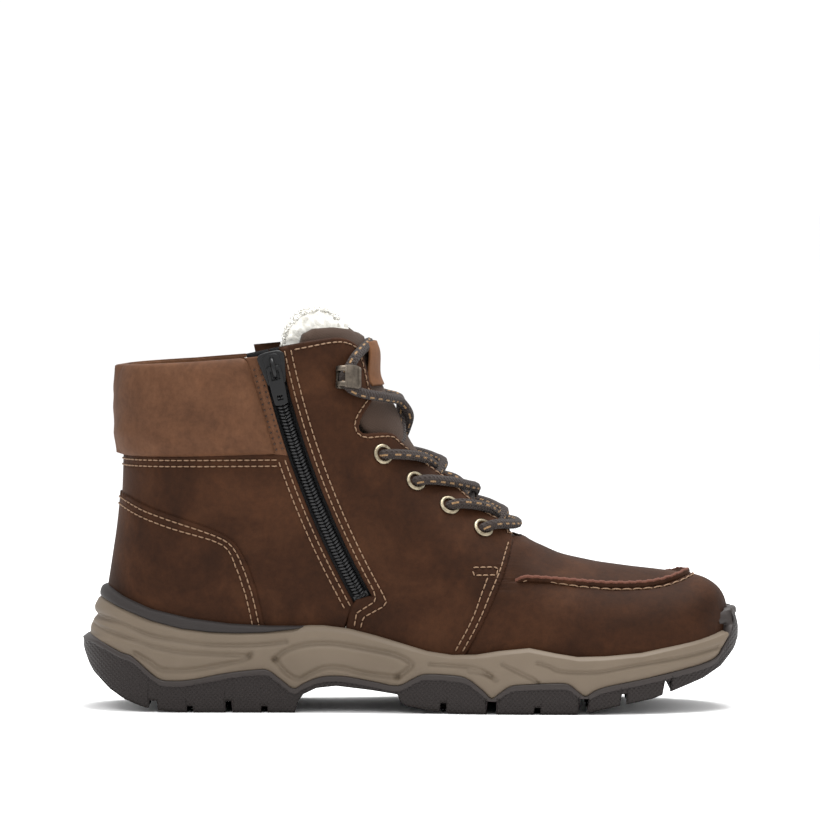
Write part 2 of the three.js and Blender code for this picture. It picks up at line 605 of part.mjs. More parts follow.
// Past the hooks both ends go under the outer facing, the one from the inner side after crossing behind the label.
const tuck = (spread, x, z, height) => laced(1, spread, coordinates(x, z), height);
const endFromOuter = [
  tuck(1, 125.6, 157.6, 2.8), tuck(0.8, 131, 153.4, 1.4), tuck(0.7, 132.6, 149, -2), tuck(0.85, 128, 144.4, UNDER), tuck(1, 121, 139, UNDER),
  tuck(1, 114, 131, UNDER),
];
const endFromInner = [
  laced(-1, 1, coordinates(123.4, 161.5), 3.2), laced(-1, 0.6, coordinates(127.6, 167.4), 0.4), laced(1, 0, coordinates(130.4, 168.6), -0.7),
  tuck(0.5, 129.6, 166.6, -1.2), tuck(0.8, 124.6, 163, UNDER), tuck(1, 117, 157.4, UNDER), tuck(1, 112, 151.4, UNDER),
];
const innerHalf = half(-1, OVER_CROSSING);
const outerHalf = half(1, UNDER_CROSSING);
const bar = laced(1, 0, eyeletSpots[3], LACE * 0.5);
const lacePath = [...[...innerHalf, ...endFromInner].reverse(), bar, ...outerHalf, ...endFromOuter];

// Steps follow the control points rather than the length, so that the tight bends at the eyelets stay round.
class LaceCurve extends THREE.CatmullRomCurve3 {
  getPointAt(t) {
    return this.getPoint(t);
  }
  getTangentAt(t) {
    return this.getTangent(t);
  }
}
function laceTube(radius, points, steps, sides = 8) {
  const shape = new THREE.Shape();
  for (let k = 0; k < sides; k++) {
    const angle = (2 * Math.PI * k) / sides;
    shape[k ? "lineTo" : "moveTo"](radius * Math.cos(angle), radius * Math.sin(angle));
  }
  shape.closePath();
  const extrudePath = new LaceCurve(points, false, "centripetal");
  return toSolid(new THREE.ExtrudeGeometry(shape, { steps, extrudePath, curveSegments: 1 }));
}
const laceSteps = lacePath.length;
const lace = laceTube(LACE / 2, lacePath, laceSteps);
const beyond = (a, b, from, to) => [from, to].map((d) => b.clone().addScaledVector(b.clone().sub(a).normalize(), d));
const [startTip] = beyond(lacePath[1], lacePath[0], 13, 13);
const [endTip] = beyond(lacePath.at(-2), lacePath.at(-1), 13, 13);
const laceRoom = laceTube(LACE / 2 + GAP + 0.8, [startTip, ...lacePath, endTip], laceSteps + 2, 5);
const clear = (solid) => largest(solid.subtract(laceRoom));

// ---- Panels, and everything inside them ----
const vampRidge = ridge(MOC_SEAM, MOC_TOP, 1.7, 2.4);
add("vamp", clear(pieceAt(panels, 240, 40, -1).add(vampRidge)), "leather");
add("front_quarter_inner", clear(pieceAt(panels, 140, 90, -1)), "leather");
add("front_quarter_outer", clear(pieceAt(panels, 140, 90, 1)), "leather");
add("side_panel", pieceAt(panels, 90, 80, -1), "leather");
add("heel_overlay", pieceAt(panels, 45, 65, -1), "leather");
add("collar_cover", pieceAt(panels, 50, 140, -1), "collar");
add("zip_facing", pieceAt(panels, 84, 140, -1), "collar");

const zipChannel = zipStrip(-16, zip.length + 6, -12.4, 12.4, -14, 14, 14);
const frontInset = (depth) => frontLine.map(([x, z]) => [x - depth, z]);
const throat = (half, depth) =>
  prism([...frontInset(depth).filter(([, z]) => z > 62), [100, 240], [330, 240], [330, 62]], -half - 3, half - 3);
const aboveBoard = prism(below(shifted(floorLine, BOARD + 2 * GAP)));
const lowTop = prism(above(shifted(TOP_LINE, -2.4).concat([[133, 166], [330, 166]])));
const middle = layer(-LEATHER - GAP - 1.2, -LEATHER - GAP).subtract(aboveBoard).subtract(lowTop);
const bare = middle.subtract(zipChannel).subtract(throat(34, 22));
const collarPart = prism([[-10, 119.6], [100, 122.6], [108, 200], [-10, 200]]);
const counterPart = prism([[-10, 20], [84, 20], [80, 55], [62, 80], [40, 90], [10, 96], [-10, 96]]);
add("collar_foam", largest(bare.intersect(collarPart)), "foam");
add("heel_counter", largest(bare.intersect(counterPart)), "stiffener");
add("toe_puff", largest(middle.intersect(prism([[250, 10], [320, 10], [320, 80], [256, 80]]))), "stiffener");

const liningTop = prism(above(shifted(TOP_LINE, -1).concat([[133, 169], [330, 169]])));
const lining = layer(-LEATHER - 3 * GAP - 1.2 - LINING, -LEATHER - 2 * GAP - 1.2)
  .subtract(aboveBoard)
  .subtract(liningTop)
  .subtract(zipChannel)
  .subtract(throat(34, 22));
add("fleece_lining", clear(lining), "fleece");
const boardPlace = prism([...shifted(floorLine, GAP), ...shifted(floorLine, GAP + BOARD).reverse()]);
add("insole_board", filled(-LEATHER - GAP).intersect(boardPlace), "board");
const bedLow = GAP * 2 + BOARD;
const bedPlace = prism([...shifted(floorLine, bedLow), ...shifted(floorLine, bedLow + FOOTBED).reverse()]);
add("footbed", filled(-LEATHER - 4 * GAP - 1.2 - LINING).intersect(bedPlace), "fleece");

const tongueRow = (top) => prism([[96, 240], [96, top - 8], [104, top - 1.4], [112, top], [122, top], [131, top - 8], [140, 100],
  [232, 100], [232, 60], [330, 60], [330, 260], [96, 260]]);
const tongueThroat = (half) => throat(half, 20).subtract(prism([[229, 0], [330, 0], [330, 120], [229, 120]]));
const tongue = layer(-LEATHER - 5.6, -LEATHER - 1.9).intersect(tongueThroat(30));
const tongueCap = (top) => prism([[60, top - 10], [102, top - 5], [108, top], [124, top], [134, top - 9], [330, top - 9], [330, 260], [60, 260]]);
add("tongue", clear(tongue.subtract(tongueCap(177))), "softshell");
const tongueFleece = layer(-LEATHER - 9.6, -LEATHER - 6.8).intersect(tongueThroat(21));
add("tongue_lining", largest(tongueFleece.subtract(tongueCap(184))), "fleece");
const labelRise = (gap) => (p) => mix(-LEATHER - 0.9 + gap, LACE / 2 + 0.1 + gap, fade(150, 166, p.z));
const labelShape = layer(labelRise(0), labelRise(1.2)).intersect(prism([[120, 149], [150, 149], [150, 171.5], [120, 171.5]], -16, 14));
add("tongue_label", clear(labelShape.intersect(throat(30, 12))), "label");

// ---- Metalwork ----
// A piece drawn about the origin with +Y outwards, set on the surface over a side-view point.
function setOn(geometry, x, z, side) {
  const { point, normal } = over(x, z, side);
  const front = new THREE.Vector3(1, 0, 0).addScaledVector(normal, -normal.x).normalize();
  const basis = new THREE.Matrix4().makeBasis(front, normal, front.clone().cross(normal));
  return geometry.applyMatrix4(basis.setPosition(point));
}
const lathe = (profile, segments) => new THREE.LatheGeometry(profile.map(([r, y]) => new THREE.Vector2(r, y)), segments);
const eyeletProfile = [
  [EYELET_BORE, -2.5], [EYELET_BORE + 0.45, -2.5], [EYELET_BORE + 0.45, 0], [EYELET_FLANGE, 0],
  [EYELET_FLANGE - 0.4, 0.9], [EYELET_BORE, 0.9], [EYELET_BORE, -2.5],
];
for (const [side, name] of [[-1, "inner"], [1, "outer"]]) {
  EYELETS.forEach(([x, z], k) => {
    add(`eyelet_${name}_${k + 1}`, clear(toSolid(setOn(lathe(eyeletProfile, 10), x, z, side))), "brass");
  });
  const bent = [[-5.4, 0.6], [5.2, 0.6], [5.2, 1.4], [-4.5, 1.4], [-4.5, 6.4], [5, 5.9], [5, 6.8], [-5.4, 7.3]];
  const hookShape = new THREE.Shape(bent.map(([x, y]) => new THREE.Vector2(x, y)));
  const hookBlank = new THREE.ExtrudeGeometry(hookShape, { depth: 8.4, bevelEnabled: false }).translate(0, 0, -4.2);
  add(`hook_${name}`, clear(toSolid(setOn(hookBlank, ...HOOK, side))), "gunmetal");
  const head = lathe([[0, 1.7], [1.7, 1.7], [1.3, 2.4], [0, 2.6]], 10).translate(3.3, 0, 0);
  add(`hook_rivet_${name}`, clear(toSolid(setOn(head, ...HOOK, side))), "gunmetal");
}

// ---- Zip ----
const zipEnd = zip.length;
add("zip_tape_rear", zipStrip(-4, zipEnd, 1, TAPE_WIDE, TAPE_LOW, TAPE_LOW + 0.6, 14), "tape");
add("zip_tape_front", zipStrip(-4, zipEnd, -TAPE_WIDE, -1, TAPE_LOW, TAPE_LOW + 0.6, 14), "tape");
add("zip_coil_rear", zipStrip(5, zipEnd - 4, 0.5, 3.3, TAPE_LOW + 0.9, TAPE_LOW + 2.7, 14), "zip");
add("zip_coil_front", zipStrip(5, zipEnd - 4, -3.3, -0.5, TAPE_LOW + 0.9, TAPE_LOW + 2.7, 14), "zip");
add("zip_top_stop_rear", zipStrip(1, 4.4, 1, 3.4, TAPE_LOW + 0.9, TAPE_LOW + 2.9, 1), "zip");
add("zip_top_stop_front", zipStrip(1, 4.4, -3.4, -1, TAPE_LOW + 0.9, TAPE_LOW + 2.9, 1), "zip");
add("zip_bottom_stop", zipStrip(zipEnd - 3.7, zipEnd - 1, -3.4, 3.4, TAPE_LOW + 0.9, TAPE_LOW + 2.9, 1), "zip");
add("zip_guard", zipStrip(-2, zipEnd + 1, -11.6, 11.6, TAPE_LOW - 4.6, TAPE_LOW - 2.6, 14), "fleece");

// The slider's own plane: along the zip, to the heel side and outwards at its middle.
const sliderAt = SLIDER_START;
const sliderSpot = zip.place(sliderAt, 0, 0);
const sliderDown = zip.place(sliderAt + 0.01, 0, 0).sub(zip.place(sliderAt - 0.01, 0, 0)).normalize();
const sliderRear = zip.place(sliderAt, 1, 0).sub(sliderSpot).normalize();
function onSlider(geometry) {
  const basis = new THREE.Matrix4().makeBasis(sliderRear, sliderDown, zip.out);
  if (basis.determinant() < 0) basis.makeBasis(sliderRear.clone().negate(), sliderDown, zip.out);
  return toSolid(geometry.applyMatrix4(basis.setPosition(sliderSpot)));
}
function slab(outline, low, high) {
  const shape = new THREE.Shape(outline.map(([x, y]) => new THREE.Vector2(x, y)));
  return new THREE.ExtrudeGeometry(shape, { depth: high - low, bevelEnabled: false }).translate(0, 0, low);
}
const crown = [[-6, -5.4], [-4, -7], [4, -7], [6, -5.4], [5.6, -1], [4.3, 6.4], [3.4, 7.4], [-3.4, 7.4], [-4.3, 6.4], [-5.6, -1]];
const blade = [[-0.2, -3.5], [0.2, -3.5], [0.2, 2.5], [-0.2, 2.5]];
const narrow = crown.map(([x, y]) => [x * 0.7, y * 0.8]);
const bridgeLow = SLIDER_TOP - 0.3;
const bridge = [[-1.3, -4.2], [1.3, -4.2], [1.3, 4.2], [-1.3, 4.2]];
const bridgeHole = [[-3, -2], [3, -2], [3, 2], [-3, 2]];
const slider = onSlider(slab(crown, SLIDER_LOW, SLIDER_TOP))
  .add(onSlider(slab(blade, TAPE_LOW - 1, SLIDER_LOW + 0.3)))
  .add(onSlider(slab(narrow, TAPE_LOW - 1.5, TAPE_LOW - 0.5)))
  .add(onSlider(slab(bridge, bridgeLow, PIN_HIGH + 2.7)))
  .subtract(onSlider(slab(bridgeHole, SLIDER_TOP, PIN_HIGH + 1.8)));
add("zip_slider", slider, "zip");
const tab = [[-3.4, -1], [3.4, -1], [4, 4], [4.4, 15.4], [3.4, 17], [-3.4, 17], [-4.4, 15.4], [-4, 4]];
const tabWindow = [[-1.7, 1], [1.7, 1], [1.9, 5.4], [-1.9, 5.4]];
const tabHole = [[-1.7, 11.6], [1.7, 11.6], [1.7, 14.8], [-1.7, 14.8]];
const pull = onSlider(slab(tab, PIN_HIGH - 0.7, PIN_HIGH + 0.7))
  .subtract(onSlider(slab(tabWindow, PIN_HIGH - 2, PIN_HIGH + 2)))
  .subtract(onSlider(slab(tabHole, PIN_HIGH - 2, PIN_HIGH + 2)));
add("zip_pull", pull, "zip");

// ---- Lace and its tips ----
add("lace", lace, "lace");
for (const [name, a, b] of [["inner", lacePath[1], lacePath[0]], ["outer", lacePath.at(-2), lacePath.at(-1)]])
  add(`aglet_${name}`, laceTube(LACE / 2 - 0.2, beyond(a, b, GAP, 12), 2), "gunmetal");

// The part's origin is the middle of its box, on the ground.
const whole = new THREE.Box3().setFromObject(boot);
const centre = whole.getCenter(new THREE.Vector3());
const home = new THREE.Vector3(-centre.x, -centre.y, -whole.min.z);
for (const mesh of boot.children) mesh.geometry.translate(...home.toArray());

export default boot;
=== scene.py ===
import math

import bpy
import numpy as np
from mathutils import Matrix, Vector
from mathutils.geometry import delaunay_2d_cdt


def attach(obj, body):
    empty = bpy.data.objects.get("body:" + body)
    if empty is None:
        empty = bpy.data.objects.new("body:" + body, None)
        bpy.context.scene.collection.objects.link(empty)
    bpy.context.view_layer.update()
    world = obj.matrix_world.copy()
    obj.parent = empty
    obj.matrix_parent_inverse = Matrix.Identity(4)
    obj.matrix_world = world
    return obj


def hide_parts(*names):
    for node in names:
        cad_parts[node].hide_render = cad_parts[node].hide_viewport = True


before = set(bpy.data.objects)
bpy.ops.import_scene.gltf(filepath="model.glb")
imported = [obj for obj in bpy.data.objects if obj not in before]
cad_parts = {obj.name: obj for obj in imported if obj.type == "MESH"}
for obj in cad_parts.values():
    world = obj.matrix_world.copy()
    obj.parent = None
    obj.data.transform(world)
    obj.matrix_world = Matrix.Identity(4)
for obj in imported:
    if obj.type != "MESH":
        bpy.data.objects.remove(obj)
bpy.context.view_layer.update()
RANDOM = np.random.default_rng(7)

# ---- Camera ----
WIDTH_SHOWN = 0.3772  # in metres, at the boot
DISTANCE = 2.6
ELEVATION = math.radians(2.2)
SENSOR_MM = 36
TARGET = Vector((-0.0002, -0.02, 0.1378))
camera = bpy.data.objects.new("camera", bpy.data.cameras.new("camera"))
bpy.context.scene.collection.objects.link(camera)
camera.data.sensor_width = SENSOR_MM
camera.data.lens = SENSOR_MM * DISTANCE / WIDTH_SHOWN
back = Vector((0, -math.cos(ELEVATION), math.sin(ELEVATION)))
camera.location = TARGET + back * DISTANCE
camera.rotation_euler = (-back).to_track_quat("-Z", "Y").to_euler()
camera.data.dof.use_dof = False
bpy.context.scene.camera = camera

# ---- Dimensions, in mm ----
HOME = np.array([-150.9966, -2.5573, 0.0])
LEATHER = 1.8
LACE = 4.5
LACE_UNDER = -4.35
# How far each leather's face stands out from the upper's surface, and the threads over it.
SIDE_LIFT, COLLAR_LIFT, STRIP_LIFT, QUARTER_LIFT, HEEL_LIFT, VAMP_LIFT = 0.0, 0.3, 0.5, 0.9, 0.95, -0.3
SIDE_THREAD, STRIP_HOLE, QUARTER_THREAD, HEEL_THREAD, VAMP_THREAD = 0.12, 0.62, 1.0, 1.05, 0.3
STITCH_PITCH = 3.1
STITCH_LENGTH = 2.2
STITCH_RADIUS = 0.33
HOLE_RADIUS = 0.42

FRONT_POINTS = [
    [298, -60], [298, -20], [298, 14], [298, 30], [297.5, 44], [294.5, 54], [285, 60.6], [268, 63.2],
    [252, 65], [236, 67.2], [220, 71], [206, 77.4], [195, 87], [185, 96], [172, 106], [161, 115],
    [152.5, 125], [146, 137], [140, 149], [135.5, 160], [131.5, 171], [127, 184], [123, 197],
    [117, 217], [110, 240],
]
REAR_POINTS = [
    [11, -60], [11, -20], [11, 14], [10.8, 34], [11, 50], [13.6, 68], [16, 84], [17.4, 98], [18, 112],
    [18.2, 127], [18, 142], [18, 154], [18, 166], [18, 182], [18, 200], [18, 220], [18, 240],
]
ROW_HEIGHTS = [
    [14, 14], [40, 32], [57, 46], [62, 55], [66, 66], [80, 84], [106, 104], [137, 132], [171, 167],
    [192, 190],
]
INNER_WIDTH = [
    [0, 34], [30, 34], [80, 32.5], [115, 33], [150, 37], [195, 42.5], [225, 43.5], [250, 42],
    [275, 39.5], [300, 37],
]
OUTER_WIDTH = [
    [0, 34], [30, 34], [80, 34], [115, 36.5], [150, 42], [190, 49], [215, 50], [240, 48.5], [265, 45.5],
    [300, 41],
]
SHAFT_WIDTH = [[40, 34], [80, 36.5], [120, 38.5], [160, 40.5], [200, 42]]
TOE_SWING = [[0, 0], [150, 0], [220, -1], [270, -4], [302, -7]]
ROUNDING = [[0, 42], [60, 50], [150, 52], [200, 50], [250, 46], [300, 44]]

FEATHER = [
    [-5, 58], [9, 56.4], [17.5, 52], [31, 47], [50, 42.8], [68, 40.4], [86, 39.4], [111, 39.4],
    [122, 38], [134, 35], [148, 31], [158, 28], [169, 26.4], [180, 26.6], [191, 28.4], [205, 29.8],
    [217, 27.4], [227, 25.8], [240, 26], [257, 27.4], [273, 30.6], [285, 33.2], [292, 35], [298, 36.6],
    [306, 38],
]
RAND_LOW = [
    [-5, 54], [8, 51.5], [17, 47.6], [32, 42], [46, 38.6], [60, 37], [72, 36.6], [85, 37], [97, 38.4],
    [106, 39.6], [110, 39.6],
]
WAVE = [
    [-5, 35], [4, 33.6], [18, 27.2], [24, 25], [35, 15.8], [42, 14.4], [52, 15.2], [66, 17.9],
    [80, 19.6], [86, 19.3], [92.7, 14.4], [97.7, 11], [102, 13.3], [108, 15.8], [114, 16.8],
    [122, 16.5], [134, 14.4], [145, 12.6], [152, 15.8], [157, 17.9], [166, 17.9], [176, 16.6],
    [184, 10.9], [188, 7.2], [192, 10], [197, 13], [205, 13.8], [218, 14.4], [223, 13.8], [227, 10.9],
    [230.6, 8.4], [235, 10.9], [241, 12.9], [256, 15.8], [273, 19.5], [285, 22.4], [291, 25],
    [293.6, 28.6], [296.4, 33.4], [298.4, 40], [299.6, 46.6], [306, 47.6],
]
TREAD = [
    [-5, 30], [0, 28], [2.5, 21], [5, 17.4], [13, 10], [20, 5.6], [29, 2.2], [37, 0.8], [45, 0],
    [98, 0], [99.4, 5], [102, 8.6], [108, 11.4], [117, 12.4], [133, 10.6], [145, 8.8], [146.5, 5.2],
    [149, 3.6], [160, 1.4], [176, 0], [226, 0], [234, 1.4], [249, 4.6], [261, 7], [268, 9.4],
    [277, 12.8], [285, 15.8], [293.5, 20.8], [300, 28], [307, 40],
]
SOLE_REAR = [
    [0, 3], [20, 1], [27, 0], [31.5, 0], [34, 2.4], [38, 3.6], [43, 6], [46, 5.4], [51, 7], [60, 9.4]
]
SOLE_FRONT = [[0, 297], [16, 299.6], [28, 301.6], [37, 302], [45, 300.4], [60, 298.4]]
SOLE_PROUD = [[0, 4.6], [10, 5.8], [30, 6.2], [42, 5], [60, 3.6]]
GROOVES = [
    [31, 35, 5.4], [66, 69.5, 5.4], [186, 190.5, 6], [228, 232, 7.4], [247, 250, 9.4], [267, 270, 15]
]
NOTCHES = [[50, 1.6, 3], [84, 1.6, 3], [166, 1.6, 5], [209, 1.6, 3.2]]
# Lines pressed into the midsole's side: depth, width, points.
RELIEF = [
    [1.5, 1.3, [[7, 42.6], [18, 40.2], [32, 35.2], [46, 32.8], [60, 31], [81, 31], [94, 32.4]]],
    [1.3, 1.2, [[5.5, 38.4], [18, 34.8], [32, 30.6], [46, 27.8], [60, 26.9], [77, 26.2]]],
    [1.4, 1.2, [[78, 26.9], [75, 24.2], [60, 21.2], [50, 19.6], [38, 19.6], [32, 23.2], [25, 26.9]]],
    [
        1.7,
        1.4,
        [
            [89, 24.6], [95, 29], [105, 31.5], [116, 31.7], [130, 29.7], [144, 26.9], [151, 23.2],
            [150, 20.4], [145, 16.8],
        ],
    ],
    [
        1.4,
        1.2,
        [
            [89, 24.6], [94, 18.6], [100, 15.6], [106, 18.4], [113, 21], [121, 20.5], [130, 18.4],
            [145, 16.8],
        ],
    ],
    [1.3, 1.1, [[160, 22.8], [176, 21.9], [183, 20.5], [188, 17.7]]],
    [
        1.3,
        1.1,
        [[209, 23.7], [214, 22.3], [220, 20], [236, 19.6], [252, 22.3], [277, 26.2], [292, 29.7]],
    ],
    [1.3, 1.1, [[193, 23], [200, 19.6], [206, 16.8], [209, 14.5]]],
    [1.2, 1.1, [[178, 19.6], [185, 18.4], [190, 15.9]]],
]

COLLAR_SEAM = [[0, 117], [18, 117.3], [52, 118], [80, 119.2], [100, 120]]
HEEL_SEAM = [
    [0, 101.5], [16, 100.4], [31, 94], [52, 87], [62.5, 83], [70, 78.4], [75, 71], [79, 61], [82, 50],
    [85, 36], [86, 30],
]
QUARTER_TOP = [
    [92, 167], [104, 170], [115, 171.4], [121, 170.8], [126.4, 167.4], [129, 161.5], [132, 150],
    [133.4, 143],
]
FACING = [
    [131, 138.6], [128.2, 134], [127.4, 130], [129.4, 127.6], [136, 127.8], [142.6, 127], [147, 122.6],
    [159, 112.4], [171, 103.4], [184, 92], [191, 87.4], [196, 82.4], [197.4, 79.4],
]
VAMP_SEAM = [[198.2, 78.2], [196.8, 73], [194, 63.4], [189.5, 53], [183, 39], [177, 28], [174, 22]]
EYELETS = [[138, 117.8], [153, 105.2], [168.6, 94], [184, 83.6]]
HOOK = [120.4, 152.6]
ZIP_POINTS = [[87.4, 162.4], [104.6, 104.4], [129.6, 50.8]]
ZIP_LENGTH = 119.9
ZIP_WINDOW = 4.5
SLIDER_START = 4.5
OUTER_BACK = 9.0  # how far behind the zip line the outer quarter reaches
MOC = [
    [198.7, 60.6], [203, 61.2], [210, 60.6], [221.3, 59.4], [231, 58.4], [241, 57.6], [250, 57.4],
    [259.4, 57.7], [266, 58.6], [272, 60], [277, 61.6],
]


# ---- Curves ----
def through(points):
    """A smooth function through [position, value] pairs that never overshoots."""
    xs, ys = np.array(points, float).T
    slopes = np.diff(ys) / np.diff(xs)
    before = np.concatenate([slopes[:1], slopes])
    after = np.concatenate([slopes, slopes[-1:]])
    total = np.where(before + after == 0, 1, before + after)
    tangents = np.where(before * after <= 0, 0, 2 * before * after / total)

    def value(at):
        x = np.clip(at, xs[0], xs[-1])
        i = np.clip(np.searchsorted(xs, x, side="right") - 1, 0, len(xs) - 2)
        h = xs[i + 1] - xs[i]
        t = (x - xs[i]) / h
        rise = t * t * (3 - 2 * t)
        start = t * (1 - t) * (1 - t) * h * tangents[i]
        end = t * t * (t - 1) * h * tangents[i + 1]
        return ys[i] * (1 - rise) + ys[i + 1] * rise + start + end

    return value


def rounded(points, steps=4):
    """A rounded line through points, as many short steps."""
    p = np.array(points, float)
    padded = np.concatenate([p[:1], p, p[-1:]])
    out = []
    for i in range(len(p) - 1):
        a, b, c, d = padded[i : i + 4]
        for t in np.arange(steps) / steps:
            bend, twist = 2 * a - 5 * b + 4 * c - d, 3 * b - a - 3 * c + d
            out.append(0.5 * (2 * b + (c - a) * t + bend * t**2 + twist * t**3))
    return np.array(out + [p[-1]])


def resample(line, pitch):
    """The same line with points every pitch or so, and the distance between them."""
    line = np.array(line, float)
    lengths = np.concatenate([[0], np.cumsum(np.linalg.norm(np.diff(line, axis=0), axis=1))])
    count = max(2, int(round(lengths[-1] / pitch)) + 1)
    at = np.linspace(0, lengths[-1], count)
    return np.stack([np.interp(at, lengths, line[:, k]) for k in range(line.shape[1])], axis=1)


def smooth(low, high, x):
    """Rises from 0 at low to 1 at high."""
    t = np.clip((x - low) / (high - low), 0, 1)
    return t * t * (3 - 2 * t)


def line_distance(px, pz, line):
    """Distance from points to a side-view line."""
    line = np.array(line, float)
    best = np.full(np.shape(px), 1e9)
    for (ax, az), (bx, bz) in zip(line[:-1], line[1:]):
        dx, dz = bx - ax, bz - az
        t = np.clip(((px - ax) * dx + (pz - az) * dz) / (dx * dx + dz * dz), 0, 1)
        best = np.minimum(best, np.hypot(px - ax - t * dx, pz - az - t * dz))
    return best


# ---- The upper's surface, the same as the CAD's ----
FRONT_LINE = rounded(FRONT_POINTS, 4)
REAR_LINE = rounded(REAR_POINTS, 3)
inner_width = through(INNER_WIDTH)
outer_width = through(OUTER_WIDTH)
shaft_width = through(SHAFT_WIDTH)
toe_swing = through(TOE_SWING)
rounding = through(ROUNDING)
row_height = through(ROW_HEIGHTS)
front_x = lambda z: np.interp(z, FRONT_LINE[:, 1], FRONT_LINE[:, 0])
rear_x = lambda z: np.interp(z, REAR_LINE[:, 1], REAR_LINE[:, 0])


def soft_distance(x, z):
    """A smooth distance to the front and rear lines: the cube root of an inverse-cube sum along them."""
    total = 0
    for line in (FRONT_LINE, REAR_LINE):
        for (ax, az), (bx, bz) in zip(line[:-1], line[1:]):
            dx, dz = bx - ax, bz - az
            long = math.hypot(dx, dz)
            away = np.maximum(0.001, np.abs((x - ax) * dz - (z - az) * dx) / long)
            along = ((x - ax) * dx + (z - az) * dz) / long
            for s, sign in ((long - along, 1), (-along, -1)):
                part = s / (s * s + away * away) + np.arctan2(s, away) / away
                total = total + sign * part / (2 * away * away)
    return np.cbrt(math.pi / 2 / total)


def half_width(x, z, side):
    foot = np.where(side < 0, inner_width(x), outer_width(x))
    full = foot + (shaft_width(z) - foot) * smooth(45, 115, z) * (1 - smooth(150, 200, x))
    share = np.minimum(1, soft_distance(x, z) / rounding(x))
    return full * np.sqrt(1 - (1 - share) ** 2.5)


PART = FRONT_LINE[(FRONT_LINE[:, 1] >= ROW_HEIGHTS[0][0]) & (FRONT_LINE[:, 1] <= ROW_HEIGHTS[-1][0])]
PART_LENGTHS = np.concatenate([[0], np.cumsum(np.linalg.norm(np.diff(PART, axis=0), axis=1))])


def front_height(v):
    return np.interp(v * PART_LENGTHS[-1], PART_LENGTHS, PART[:, 1])


def surface(u, v):
    """Points of the surface: u runs 0 to 1 from heel to toe on the inner side, and on to 2 outside."""
    u, v = np.broadcast_arrays(np.asarray(u, float), np.asarray(v, float))
    high = front_height(v)
    low = row_height(high)
    t = (1 - np.cos(math.pi * u)) / 2
    x = rear_x(low) * (1 - t) + front_x(high) * t
    z = low * (1 - t) + high * t
    turn = np.mod(u, 2)
    side = np.where(turn <= 1, -1.0, 1.0)
    near = np.minimum(np.minimum(turn, 2 - turn), np.abs(turn - 1))
    wide = np.where(near < 1e-7, 0, half_width(x, z, side))
    return np.stack([x, toe_swing(x) + side * wide, z], axis=-1)


def normals(u, v):
    step, turn_step = 0.003, 0.012
    v = np.asarray(v, float)
    across = surface(np.asarray(u) + turn_step, v) - surface(np.asarray(u) - turn_step, v)
    along = surface(u, np.minimum(v + step, 1)) - surface(u, np.maximum(v - step, 0))
    n = np.cross(across, along)
    return n / np.linalg.norm(n, axis=-1, keepdims=True)


def coordinates(points):
    """Surface coordinates of side-view points on the inner side."""
    p = np.atleast_2d(np.array(points, float))
    low, high = np.zeros(len(p)), np.ones(len(p))
    for _ in range(34):
        v = (low + high) / 2
        f = front_height(v)
        r = row_height(f)
        ax, bx = rear_x(r), front_x(f)
        under = r + (p[:, 0] - ax) / (bx - ax) * (f - r) < p[:, 1]
        low, high = np.where(under, v, low), np.where(under, high, v)
    t = np.clip((p[:, 0] - ax) / (bx - ax), 0, 1)
    return np.stack([np.arccos(1 - 2 * t) / math.pi, low], axis=1)


def on_surface(points, side, height=0.0):
    """Side-view points set on the surface, with their outward normals."""
    uv = coordinates(points)
    u = uv[:, 0] if side < 0 else 2 - uv[:, 0]
    n = normals(u, uv[:, 1])
    return surface(u, uv[:, 1]) + n * height, n


# ---- Meshes ----
def make(name, verts, faces, material, body="boot", smooth_faces=True):
    """A mesh object from points in the boot's own millimetres, riding on a body."""
    mesh = bpy.data.meshes.new(name)
    mesh.from_pydata(((np.asarray(verts) + HOME) / 1000).tolist(), [], [list(map(int, f)) for f in faces])
    mesh.validate()
    mesh.update()
    for polygon in mesh.polygons:
        polygon.use_smooth = smooth_faces
    obj = bpy.data.objects.new(name, mesh)
    bpy.context.scene.collection.objects.link(obj)
    mesh.materials.append(material)
    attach(obj, body)
    return obj


def grid_faces(rows, columns, wrap=False):
    r, c = np.meshgrid(np.arange(rows - 1), np.arange(columns if wrap else columns - 1), indexing="ij")
    r, c = r.ravel(), c.ravel()
    d = (c + 1) % columns
    return np.stack(
        [r * columns + c, r * columns + d, (r + 1) * columns + d, (r + 1) * columns + c], axis=1
    )


def mirrored(half, middle):
    """A closed outline from its inner half: middle is 0 for a piece round the heel and 1 round the toe."""
    half = np.array(half, float)
    other = half[::-1].copy()
    other[:, 0] = 2 * middle - other[:, 0]
    return np.concatenate([half, other])


def outline_uv(points, pitch=1.3):
    return coordinates(resample(points, pitch))


